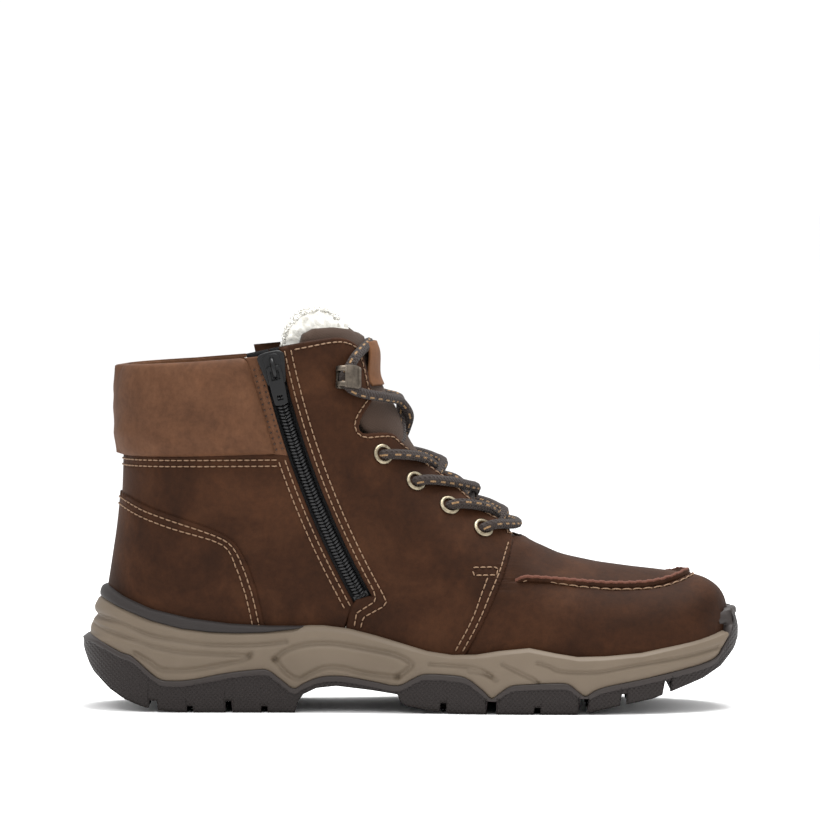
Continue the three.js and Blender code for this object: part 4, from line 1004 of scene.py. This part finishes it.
tongue_outline = mirrored(with_ends(tongue_half, [209, 75.4], [130.8, 172.4]), 1)
tongue_form = {"thickness": 4.2, "lift": -2.9, "edge": 2.4, "grain": 2.2, "puff": tongue_puff}
tongue = panel("tongue_padding", tongue_outline, SOFTSHELL_LOOK, **tongue_form)
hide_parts("tongue")


def clumps(p):
    """Soft lumps of fleece, a few millimetres across."""
    out = 0
    x, y, z = p.T
    for size, high in ((6.5, 1.1), (3.4, 0.7), (1.9, 0.35)):
        k = 2 * math.pi / size
        forwards = np.sin(k * x + 1.7 * np.sin(k * 0.6 * z))
        sideways = np.sin(k * y * 0.9 + 1.3 * np.cos(k * 0.5 * x))
        out = out + high * forwards * sideways * np.cos(k * z)
    return out


fleece_side = [
    [150, 108], [138, 116], [124, 128], [112, 140], [101, 150], [95.4, 160], [94, 168], [96.4, 174.6],
    [100.8, 180], [107, 183.8], [114, 185.4], [120.6, 184.8], [125, 181.4],
]
fleece_half = with_ends(outline_uv(fleece_side, 1.5), [157, 119], [127, 178])
fleece_puff = lambda d, p: 0.9 * clumps(p) * np.clip(d / 2, 0.5, 1)
fleece_form = {"thickness": 5.6, "lift": -7.6, "edge": 3.4, "grain": 1.5, "puff": fleece_puff}
tongue_fleece = panel("tongue_fleece", mirrored(fleece_half, 1), FLEECE_LOOK, **fleece_form)
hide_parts("tongue_lining")
cuff_half = outline_uv(
    [
        [18.2, 92], [60, 90], [104, 92], [112, 120], [109, 150], [106, 163], [96, 160], [90, 157],
        [75, 153.6], [50, 152], [19, 150],
    ],
    1.6,
)
cuff_half[0, 0] = cuff_half[-1, 0] = 0
zip_side = zip_line(0, -6)
behind_zip = lambda p: (1 - smooth(9, 13, line_distance(p[:, 0], p[:, 2], zip_side))) * (p[:, 1] < 0)
cuff_lift = lambda p: -2.6 - 6.6 * behind_zip(p)
cuff = panel(
    "collar_fleece",
    mirrored(cuff_half, 0),
    FLEECE_LOOK,
    thickness=4.6,
    lift=cuff_lift,
    edge=2.2,
    grain=1.9,
)
inner_wall = cuff.data
for vertex in inner_wall.vertices[len(inner_wall.vertices) // 2 :]:
    p = np.array(vertex.co) * 1000 - HOME
    middle = np.array([60.0, 0.0, p[2]])
    inward = (middle - p) / np.linalg.norm(middle - p)
    vertex.co = Vector((p + inward * float(0.9 * clumps(p[None])[0]) + HOME) / 1000)
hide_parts("fleece_lining")


def tufts(name, uvs, height, count, seed):
    """Short curved locks of pile standing out of a fleece edge."""
    rng = np.random.default_rng(seed)
    verts, faces = [], []
    picks = rng.integers(0, len(uvs), count)
    base = surface(uvs[picks, 0], uvs[picks, 1])
    n = normals(uvs[picks, 0], uvs[picks, 1])
    for p, up in zip(base, n):
        start = p + up * (height + rng.uniform(-2.6, 0.6)) + rng.normal(0, 0.4, 3)
        lean = np.array([0, 0, 1.0]) + up * rng.uniform(-0.9, 0.7) + rng.normal(0, 0.55, 3)
        lean /= np.linalg.norm(lean)
        long = rng.uniform(0.7, 1.5)
        side = np.cross(lean, rng.normal(0, 1, 3))
        side /= np.linalg.norm(side)
        other = np.cross(lean, side)
        first = len(verts)
        for at, r in ((0, 0.75), (0.5, 0.6)):
            centre = start + lean * long * at + side * at * at * 0.8
            verts += [centre + r * (math.cos(a) * side + math.sin(a) * other) for a in (0, 2.1, 4.2)]
        verts.append(start + lean * long * 0.92 + side * 1.1)
        for k in range(3):
            d = (k + 1) % 3
            faces.append([first + k, first + d, first + 3 + d, first + 3 + k])
            faces.append([first + 3 + k, first + 3 + d, first + 6])
        faces.append([first + 2, first + 1, first])
    return make(name, verts, faces, FLEECE_LOOK)


fleece_rim = mirrored(fleece_half[22:-1], 1)
tufts("tongue_tufts", fleece_rim, -9.0, 2600, 3)
cuff_rim = mirrored(cuff_half[len(cuff_half) // 2 + 20 :], 0)
tufts("collar_tufts", cuff_rim, -6.2, 1500, 4)
band_half = outline_uv(
    [[18.1, 146], [50, 148], [74, 150], [78, 158], [74, 161.4], [50, 159.8], [19, 158.2]]
)
band_half[0, 0] = band_half[-1, 0] = 0
panel("collar_facing", mirrored(band_half, 0), COLLAR_LOOK, thickness=3.4, lift=0.2, edge=1.6)

label_low = coordinates([[front_x(149.5), 149.5]])[0, 1]
label_high = coordinates([[front_x(168.5), 168.5]])[0, 1]
cut = 0.006  # what the label's corners lose
corners = [(0, label_low), (0.132, label_low), (0.14, label_low + cut)]
corners += [(0.112, label_high - cut), (0.104, label_high), (0, label_high)]
label_half = resample([(1 - a, v) for a, v in corners], 0.004)
label_rise = lambda p: 3.2 - 4.0 * (1 - smooth(152, 165, p[:, 2]))
label_form = {"thickness": 1.4, "lift": label_rise, "edge": 0.6, "grain": 1.2}
label = panel("tongue_label_leather", mirrored(label_half, 1), LABEL_LOOK, **label_form)
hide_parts("tongue_label")

# ---- Lace ----
eyelet_spots = coordinates(EYELETS)
blend_spots = lambda a, b, t: a + (b - a) * t


def laced(side_, spread, spot, height):
    turn = 1 - (1 - spot[0]) * spread if side_ < 0 else 1 + (1 - spot[0]) * spread
    return surface(turn, spot[1]) + normals(turn, spot[1]) * height


def crossing(side_, a, b, middle):
    return [
        laced(side_, 1, a, 0),
        laced(side_, 0.9, blend_spots(a, b, 0.05), LACE_UNDER),
        laced(side_, 0.6, blend_spots(a, b, 0.2), LACE_UNDER),
        laced(side_, 0.3, blend_spots(a, b, 0.38), 0.4 * middle + 0.6 * LACE_UNDER),
        laced(side_, 0, blend_spots(a, b, 0.5), middle),
        laced(-side_, 0.28, blend_spots(a, b, 0.62), 0.45 * LACE * 0.5 + 0.55 * middle),
        laced(-side_, 0.6, blend_spots(a, b, 0.76), LACE * 0.66),
        laced(-side_, 0.92, blend_spots(a, b, 0.94), LACE * 0.72),
    ]


def spot_at(x, z):
    return coordinates([[x, z]])[0]


def half_lace(start, middle):
    """One end of the lace, from the bottom bar up to its hook, starting on one side."""
    path = [
        laced(start, 0.4, eyelet_spots[3], LACE * 0.58),
        laced(start, 0.88, eyelet_spots[3], LACE * 0.72),
    ]
    side_ = start
    for k in (3, 2, 1):
        path += crossing(side_, eyelet_spots[k], eyelet_spots[k - 1], middle)
        side_ = -side_
    return path + [
        laced(side_, 1, eyelet_spots[0], 0),
        laced(side_, 0.9, spot_at(137.4, 119.5), LACE_UNDER),
        laced(side_, 0.6, spot_at(142, 124), LACE_UNDER),
        laced(side_, 0.3, spot_at(145.4, 129), 0.6 * middle + 0.4 * LACE_UNDER),
        laced(side_, 0, spot_at(148, 134), middle + 1.2),
        laced(-side_, 0.4, spot_at(143.4, 140), LACE * 0.55),
        laced(-side_, 0.8, spot_at(135, 142.6), LACE * 0.62),
        laced(-side_, 1, spot_at(126.4, 145.6), LACE * 0.72),
        laced(-side_, 1, spot_at(121.2, 148.2), LACE * 0.84),
        laced(-side_, 1, spot_at(118.6, 152.4), LACE * 0.86),
        laced(-side_, 1, spot_at(120.6, 156.8), LACE * 0.84),
    ]


def tuck(spread, x, z, height):
    return laced(1, spread, spot_at(x, z), height)


OVER = 4.0 / 2 - 0.2
UNDERNEATH = OVER - 4.0 - 0.45
outer_end = [
    tuck(1, 125.6, 157.6, 2.8),
    tuck(0.8, 131, 153.4, 1.4),
    tuck(0.7, 132.6, 149, -2),
    tuck(0.85, 128, 144.4, LACE_UNDER),
    tuck(1, 121, 139, LACE_UNDER),
    tuck(1, 114, 131, LACE_UNDER),
]
inner_end = [
    laced(-1, 1, spot_at(123.4, 161.5), 3.2),
    laced(-1, 0.6, spot_at(127.6, 167.4), 0.4),
    laced(1, 0, spot_at(130.4, 168.6), -0.7),
    tuck(0.5, 129.6, 166.6, -1.2),
    tuck(0.8, 124.6, 163, LACE_UNDER),
    tuck(1, 117, 157.4, LACE_UNDER),
    tuck(1, 112, 151.4, LACE_UNDER),
]
bar = laced(1, 0, eyelet_spots[3], LACE * 0.5)
lace_points = np.array(
    (half_lace(-1, OVER) + inner_end)[::-1] + [bar] + half_lace(1, UNDERNEATH) + outer_end
)


def centripetal(points, steps):
    """A centripetal Catmull-Rom line through points."""
    p = np.concatenate([2 * points[:1] - points[1:2], points, 2 * points[-1:] - points[-2:-1]])
    out = []
    for i in range(len(points) - 1):
        a, b, c, d = p[i : i + 4]
        t1 = np.linalg.norm(b - a) ** 0.5 + 1e-6
        t2 = t1 + np.linalg.norm(c - b) ** 0.5 + 1e-6
        t3 = t2 + np.linalg.norm(d - c) ** 0.5 + 1e-6
        for t in t1 + (t2 - t1) * np.arange(steps) / steps:
            a1 = (t1 - t) / t1 * a + t / t1 * b
            a2 = (t2 - t) / (t2 - t1) * b + (t - t1) / (t2 - t1) * c
            a3 = (t3 - t) / (t3 - t2) * c + (t - t2) / (t3 - t2) * d
            b1 = (t2 - t) / t2 * a1 + t / t2 * a2
            b2 = (t3 - t) / (t3 - t1) * a2 + (t - t1) / (t3 - t1) * a3
            out.append((t2 - t) / (t2 - t1) * b1 + (t - t1) / (t2 - t1) * b2)
    return np.array(out + [points[-1]])


lace_line = resample(centripetal(lace_points, 10), 0.9)
ribs = lambda angle: 1 + 0.045 * np.cos(angle * 9)
lace = tube("lace_braid", lace_line, LACE / 2, LACE_LOOK, sides=36, profile=ribs)
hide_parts("lace")


# ---- Metalwork ----
def frame_at(x, z, side_):
    """The surface's frame over a side-view point: place, forwards, outwards, and the third axis."""
    place, n = on_surface([[x, z]], side_)
    place, n = place[0], n[0]
    front = np.array([1.0, 0, 0]) - n * n[0]
    front /= np.linalg.norm(front)
    return place, front, n, np.cross(front, n)


def turned(name, x, z, side_, profile, look, segments=40):
    """A ring turned from a closed profile of (radius, height), set on the surface."""
    place, front, out, third = frame_at(x, z, side_)
    verts = []
    for r, h in profile:
        for k in range(segments):
            a = 2 * math.pi * k / segments
            verts.append(place + r * (math.cos(a) * front + math.sin(a) * third) + h * out)
    ring = list(profile) + [profile[0]]
    faces = []
    for j in range(len(profile)):
        for k in range(segments):
            d, nxt = (k + 1) % segments, (j + 1) % len(profile)
            faces.append([j * segments + k, nxt * segments + k, nxt * segments + d, j * segments + d])
    return make(name, verts, faces, look)


flange = [
    (3.0, -2.4), (3.4, -2.4), (3.45, 0.7), (4.0, 0.85), (4.7, 0.95), (4.85, 1.15), (4.7, 1.5),
    (4.2, 1.85), (3.6, 1.95), (3.15, 1.7), (3.0, 1.2),
]
for side_, word in ((-1, "inner"), (1, "outer")):
    for k, (x, z) in enumerate(EYELETS):
        ring = turned(f"eyelet_ring_{word}_{k + 1}", x, z, side_, flange, BRASS_LOOK)
        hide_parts(f"eyelet_{word}_{k + 1}")


def bent_plate(name, x, z, side_, path, widths, thick, look, offset=0.0):
    """A strip of metal bent along (forwards, outwards) points, with a width at each and soft edges."""
    place, front, out, third = frame_at(x, z, side_)
    place = place + third * offset
    centre = rounded(path, 5)
    wide = np.interp(np.linspace(0, 1, len(centre)), np.linspace(0, 1, len(widths)), widths)
    ahead = np.gradient(centre, axis=0)
    ahead /= np.linalg.norm(ahead, axis=1, keepdims=True)
    half = [(-1, -0.3), (-0.96, -0.5), (0.96, -0.5), (1, -0.3)]
    section = half + [(-a, -b) for a, b in half]
    verts = []
    for (a, h), (ta, th), w in zip(centre, ahead, wide):
        for s, t in section:
            middle = place + (a - th * t * thick) * front + (h + ta * t * thick) * out
            verts.append(middle + third * s * w / 2)
    faces = list(grid_faces(len(centre), 8, wrap=True))
    faces += [list(range(8))[::-1], [len(verts) - 8 + k for k in range(8)]]
    return make(name, verts, faces, look)


hook_base = [[5.4, 1.3], [2, 1.3], [-3, 1.3], [-4.6, 1.5]]
hook_bend = [[-2.6, 1.3], [-4.6, 1.7], [-5.7, 4.2], [-4.6, 6.4], [-2.2, 6.9]]
hook_plate = [[-3.4, 6.8], [0, 7.0], [2.6, 6.7], [4.2, 6.5], [5.0, 7.1]]
for side_, word in ((-1, "inner"), (1, "outer")):
    hook = bent_plate(
        f"lace_hook_{word}", *HOOK, side_, hook_plate, [10.2, 10.8, 10.8, 10.2, 8.8], 0.95, GUN_LOOK
    )
    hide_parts(f"hook_{word}")
    bent_plate(f"lace_hook_base_{word}", *HOOK, side_, hook_base, [9.6, 10, 10, 9.8], 0.95, GUN_LOOK)
    for at, arm in ((-3.6, "low"), (3.6, "high")):
        bent_plate(
            f"lace_hook_{arm}_{word}",
            *HOOK,
            side_,
            hook_bend,
            [2.8, 2.4, 2.2, 2.4, 2.8],
            0.95,
            GUN_LOOK,
            at,
        )


# ---- Zip ----
def zip_ribbon(name, across, heights, start, end, look, thick):
    """A thin ribbon that follows the zip's curve."""
    count = 70
    alongs = np.linspace(start, end, count)
    section = [(a, heights - thick / 2) for a in across] + [(a, heights + thick / 2) for a in across[::-1]]
    rings = [on_zip(alongs, np.full(count, float(a)), h) for a, h in section]
    verts = np.stack(rings, axis=1).reshape(-1, 3)
    size_ = len(section)
    faces = list(grid_faces(count, size_, wrap=True))
    faces += [list(range(size_))[::-1], [len(verts) - size_ + k for k in range(size_)]]
    return make(name, verts, faces, look)


COIL_HIGH = -2.6
for sign, word in ((1, "rear"), (-1, "front")):
    across = sorted(sign * a for a in (0.25, 4, 7, 10.5))
    tape = zip_ribbon(f"tape_{word}", across, COIL_HIGH - 1.1, -4, ZIP_LENGTH, TAPE_LOOK, 0.6)
    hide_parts(f"zip_tape_{word}")
    alongs = np.arange(-1.5, ZIP_LENGTH - 2, 1.55)
    starts = on_zip(alongs + 0.5, np.full(len(alongs), sign * -0.1), COIL_HIGH + 0.3)
    ends = on_zip(alongs - 0.5, np.full(len(alongs), sign * 2.9), COIL_HIGH)
    coil = capsules(f"coil_{word}", starts, ends, 0.66, [ZIP_OUT] * len(alongs), ZIP_LOOK)
    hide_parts(f"zip_coil_{word}", f"zip_top_stop_{word}")


def cut_plate(name, outline, cuts, low, high, bevel, look, body):
    """A flat piece in the slider's plane: an outline in (across, along), with holes and rounded edges."""
    curve = bpy.data.curves.new(name, "CURVE")
    curve.dimensions = "2D"
    curve.fill_mode = "BOTH"
    for ring in [outline, *cuts]:
        spline = curve.splines.new("POLY")
        spline.points.add(len(ring) - 1)
        for point, (a, b) in zip(spline.points, ring):
            point.co = (a, b, 0, 1)
        spline.use_cyclic_u = True
    curve.extrude = (high - low) / 2 - bevel
    curve.bevel_depth = bevel
    curve.bevel_resolution = 2
    curve.offset = -bevel
    drawn = bpy.data.objects.new(name + "_curve", curve)
    bpy.context.scene.collection.objects.link(drawn)
    bpy.context.view_layer.update()
    mesh = bpy.data.meshes.new_from_object(drawn.evaluated_get(bpy.context.evaluated_depsgraph_get()))
    bpy.data.objects.remove(drawn)
    middle = (low + high) / 2
    spots = [v.co for v in mesh.vertices]
    verts = [SLIDER_SPOT + p.x * SLIDER_REAR + p.y * SLIDER_DOWN + (p.z + middle) * ZIP_OUT for p in spots]
    faces = [list(p.vertices) for p in mesh.polygons]
    return make(name, verts, faces, look, body, smooth_faces=False)


SLIDER_SPOT = on_zip(np.array(SLIDER_START), np.array(0.0), 0)
SLIDER_DOWN = on_zip(np.array(SLIDER_START + 0.01), np.array(0.0), 0) - SLIDER_SPOT
SLIDER_DOWN /= np.linalg.norm(SLIDER_DOWN)
SLIDER_REAR = np.cross(SLIDER_DOWN, ZIP_OUT)
crown = rounded(
    [
        [-6.2, -5.6], [-3.6, -7.4], [3.6, -7.4], [6.2, -5.6], [5.7, -1], [4.4, 6.2], [3, 7.6],
        [-3, 7.6], [-4.4, 6.2], [-5.7, -1], [-6.2, -5.6],
    ],
    4,
)[:-1]
slider = cut_plate("slider_crown", crown.tolist(), [], 0.9, 2.9, 0.5, SLIDER_LOOK, "slider")
raised = [[0.62 * a, 0.85 * b] for a, b in crown]
cut_plate("slider_rise", raised, [], 2.7, 3.5, 0.3, SLIDER_LOOK, "slider")
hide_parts("zip_slider")
arch = [[-4.2, 2.6], [-4.0, 4.6], [-2.8, 6.5], [0, 7.2], [2.8, 6.5], [4.0, 4.6], [4.2, 2.6]]
arch_line = np.array([SLIDER_SPOT + a * SLIDER_DOWN + h * ZIP_OUT for a, h in rounded(arch, 6)])
tube("slider_bridge", arch_line, 0.95, SLIDER_LOOK, "slider", sides=16)
tab = rounded(
    [
        [-2.5, -0.9], [2.5, -0.9], [3.3, 2], [3.4, 8], [3.1, 14.6], [2.4, 17], [-2.4, 17], [-3.1, 14.6],
        [-3.4, 8], [-3.3, 2], [-2.5, -0.9],
    ],
    4,
)[:-1]
window = [[-1.75, 1.1], [1.75, 1.1], [2.0, 5.4], [-2.0, 5.4]]
eye = [[-1.2, 12.6], [1.2, 12.6], [1.2, 14.8], [-1.2, 14.8]]
pull = cut_plate("pull_tab", tab.tolist(), [window, eye], 4.2, 5.6, 0.35, SLIDER_LOOK, "pull")
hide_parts("zip_pull")

# ---- Sole ----
sole_rear, sole_front, sole_proud = through(SOLE_REAR), through(SOLE_FRONT), through(SOLE_PROUD)
feather = lambda x: np.interp(x, *np.array(FEATHER).T)
rand_low = lambda x: np.interp(x, *np.array(RAND_LOW).T)
wave_curve = rounded(WAVE, 4)
wave = lambda x: np.interp(x, wave_curve[:, 0], wave_curve[:, 1])
tread = lambda x: np.interp(x, *np.array(TREAD).T)


def sole_wall(t, side_, z, out=0.0):
    """A point of the sole's side: t runs 0 to 1 from heel to toe."""
    x = sole_rear(z) * (1 - t) + sole_front(z) * t
    foot = np.where(side_ < 0, inner_width(x), outer_width(x)) + sole_proud(z)
    blunt = 7.4 * (1 - t) + 5.6 * t
    share = np.sqrt(np.clip(1 - np.abs(2 * t - 1) ** blunt, 0, 1))
    return np.stack([x, toe_swing(x) + side_ * foot * share, z + 0 * x], axis=-1)


def around_sole(count):
    """Columns round the sole: how far along it, and on which side."""
    u = np.arange(2 * count) / count
    t = (1 - np.cos(math.pi * u)) / 2
    return 0.35 * t + 0.65 * np.where(u <= 1, u, 2 - u), np.where(u <= 1, -1.0, 1.0)


def skirt(name, low, high, push, rows, look, count=620, turn_in=3.0, lip=(), ends_at=400):
    """A side wall between two heights, pushed outwards by push(x, z, share), with a turned-in top."""
    t, side_ = around_sole(count)
    columns = len(t)
    rings = []
    for share in np.linspace(0, 1, rows):
        z = np.full(columns, 30.0)
        for _ in range(5):
            x = sole_rear(z) * (1 - t) + sole_front(z) * t
            z = low(x) * (1 - share) + high(x) * share
        p = sole_wall(t, side_, z)
        ahead = np.roll(p, -1, 0) - np.roll(p, 1, 0)
        out = np.stack([ahead[:, 1], -ahead[:, 0], 0 * z], axis=1)
        out /= np.linalg.norm(out, axis=1, keepdims=True) + 1e-9
        rings.append(p + out * push(p[:, 0], z, share)[:, None])
        outs = out
    for depth, rise in lip:
        rings.append(rings[rows - 1] - outs * depth + np.array([0, 0, rise]))
    below = rings[0] - outs * turn_in
    rings = [below] + rings
    faces = grid_faces(len(rings), columns, wrap=True)
    return make(name, np.concatenate(rings), faces[rings[1][faces[:, 0] % columns, 0] < ends_at], look)


def relief(x, z, share):
    out = 0.9 * np.sin(math.pi * np.clip(share, 0, 1)) ** 0.8
    for depth, width, line in RELIEF:
        out = out - depth * np.exp(-((line_distance(x, z, rounded(line, 4)) / width) ** 2))
    return out - 0.9 * smooth(0.93, 1.0, share)


def midsole_top(x):
    return np.where(x < 108, np.minimum(feather(x), rand_low(x)), feather(x)) - 0.2


roll_in = [(0.8, 0.5), (2.0, 0.75), (4.5, 0.6), (9.0, -0.6)]

def midsole_low(x):
    return np.minimum(wave(x) + 0.2, midsole_top(x) - 0.4)


def midsole_push(x, z, share):
    return relief(x, z, share) - 3.4 * smooth(33.5, 37.5, wave(x))


midsole = skirt("midsole_side", midsole_low, midsole_top, midsole_push, 46, MIDSOLE_LOOK, lip=roll_in)
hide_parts("midsole")


RAND_END = 106


def rand_top(x):
    return np.where(x < RAND_END, feather(x), 39.0)


def rand_foot(x):
    return rand_low(x) - 0.2 - 2 * smooth(104, 108, x)


def rand_push(x, z, share):
    """A rounded face that sinks away where the rand ends."""
    round_face = 1.1 * np.sqrt(np.clip(1 - (2 * share - 1) ** 2, 0, 1))
    return round_face * (1 - smooth(96, RAND_END, x)) - 0.6 - 3 * smooth(98, 107, x)


rand_lip = [(1.2, 0.4), (3.0, 0.2), (8.0, -1.5)]
rand = skirt(
    "heel_rand_side", rand_foot, rand_top, rand_push, 12, RAND_LOOK, lip=rand_lip, ends_at=RAND_END
)
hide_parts("heel_rand")


def slots(x):
    """How high the tread's bottom is over a slot that opens at the side."""
    z = tread(x)
    for a, b, top in GROOVES:
        z = np.where((x > a) & (x < b), np.maximum(z, top), z)
    for at, half_, top in NOTCHES:
        z = np.where(np.abs(x - at) < half_, np.maximum(z, top), z)
    return z


def rubber_push(x, z, share):
    rim = 0.8 * (z > wave(x) - 2.3)
    return 0.5 + rim - 0.35 * smooth(0.96, 1, share) - 0.8 * (1 - smooth(0, 0.12, share))


outsole_form = {"count": 1100, "turn_in": 0.0, "lip": [(1.2, 0.3), (3.6, 0.1), (8.0, -0.8)]}
outsole = skirt("outsole_side", slots, wave, rubber_push, 34, OUTSOLE_LOOK, **outsole_form)
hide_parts("outsole")
outsole.data.materials.append(RIM_LOOK)
for polygon in outsole.data.polygons:
    p = np.array(polygon.center) * 1000 - HOME
    if p[2] > float(wave(p[0])) - 2.5:
        polygon.material_index = 1


def underside(name, look):
    """The tread from below: blocks along both edges, a sunk channel down the middle."""
    ts = np.linspace(0.0, 1.0, 760)
    across = np.linspace(-1, 1, 61)
    rows = []
    for t in ts:
        z0 = 30.0
        for _ in range(5):
            x = float(sole_rear(z0) * (1 - t) + sole_front(z0) * t)
            z0 = float(slots(np.array(x)))
        left = sole_wall(np.array(t), -1, np.array(z0))
        right = sole_wall(np.array(t), 1, np.array(z0))
        y = left[1] * (1 - across) / 2 + right[1] * (1 + across) / 2
        swing = float(toe_swing(x))
        edge = np.minimum(y - left[1], right[1] - y)
        high = np.full(len(across), z0)
        block = float(tread(np.array(x)))
        notch = any(abs(x - at) < half_ for at, half_, _ in NOTCHES)
        high = np.where(edge > 17, block if notch else z0, high)
        flat_part = (block < 6) & (edge > 15)
        step_ = np.abs(((x + 0.6 * np.abs(y - swing)) % 17) - 8.5) < 1.5
        high = np.where(flat_part & step_, np.maximum(high, block + 2.6), high)
        high = np.where((np.abs(y - swing) < 3.2) & (block < 6), np.maximum(high, block + 3.4), high)
        rows.append(np.stack([np.full(len(across), x), y, high], axis=1))
    verts = np.concatenate(rows)
    return make(name, verts, grid_faces(len(ts), len(across))[:, ::-1], look, smooth_faces=False)


underside("outsole_tread", OUTSOLE_LOOK)

# ---- Inside ----
for node, look in (
    ("footbed", FLEECE_LOOK),
    ("zip_guard", FLEECE_LOOK),
    ("collar_foam", FLEECE_LOOK),
    ("aglet_inner", GUN_LOOK),
    ("aglet_outer", GUN_LOOK),
    ("hook_rivet_inner", GUN_LOOK),
    ("hook_rivet_outer", GUN_LOOK),
    ("zip_bottom_stop", ZIP_LOOK),
):
    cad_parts[node].data.materials[0] = look
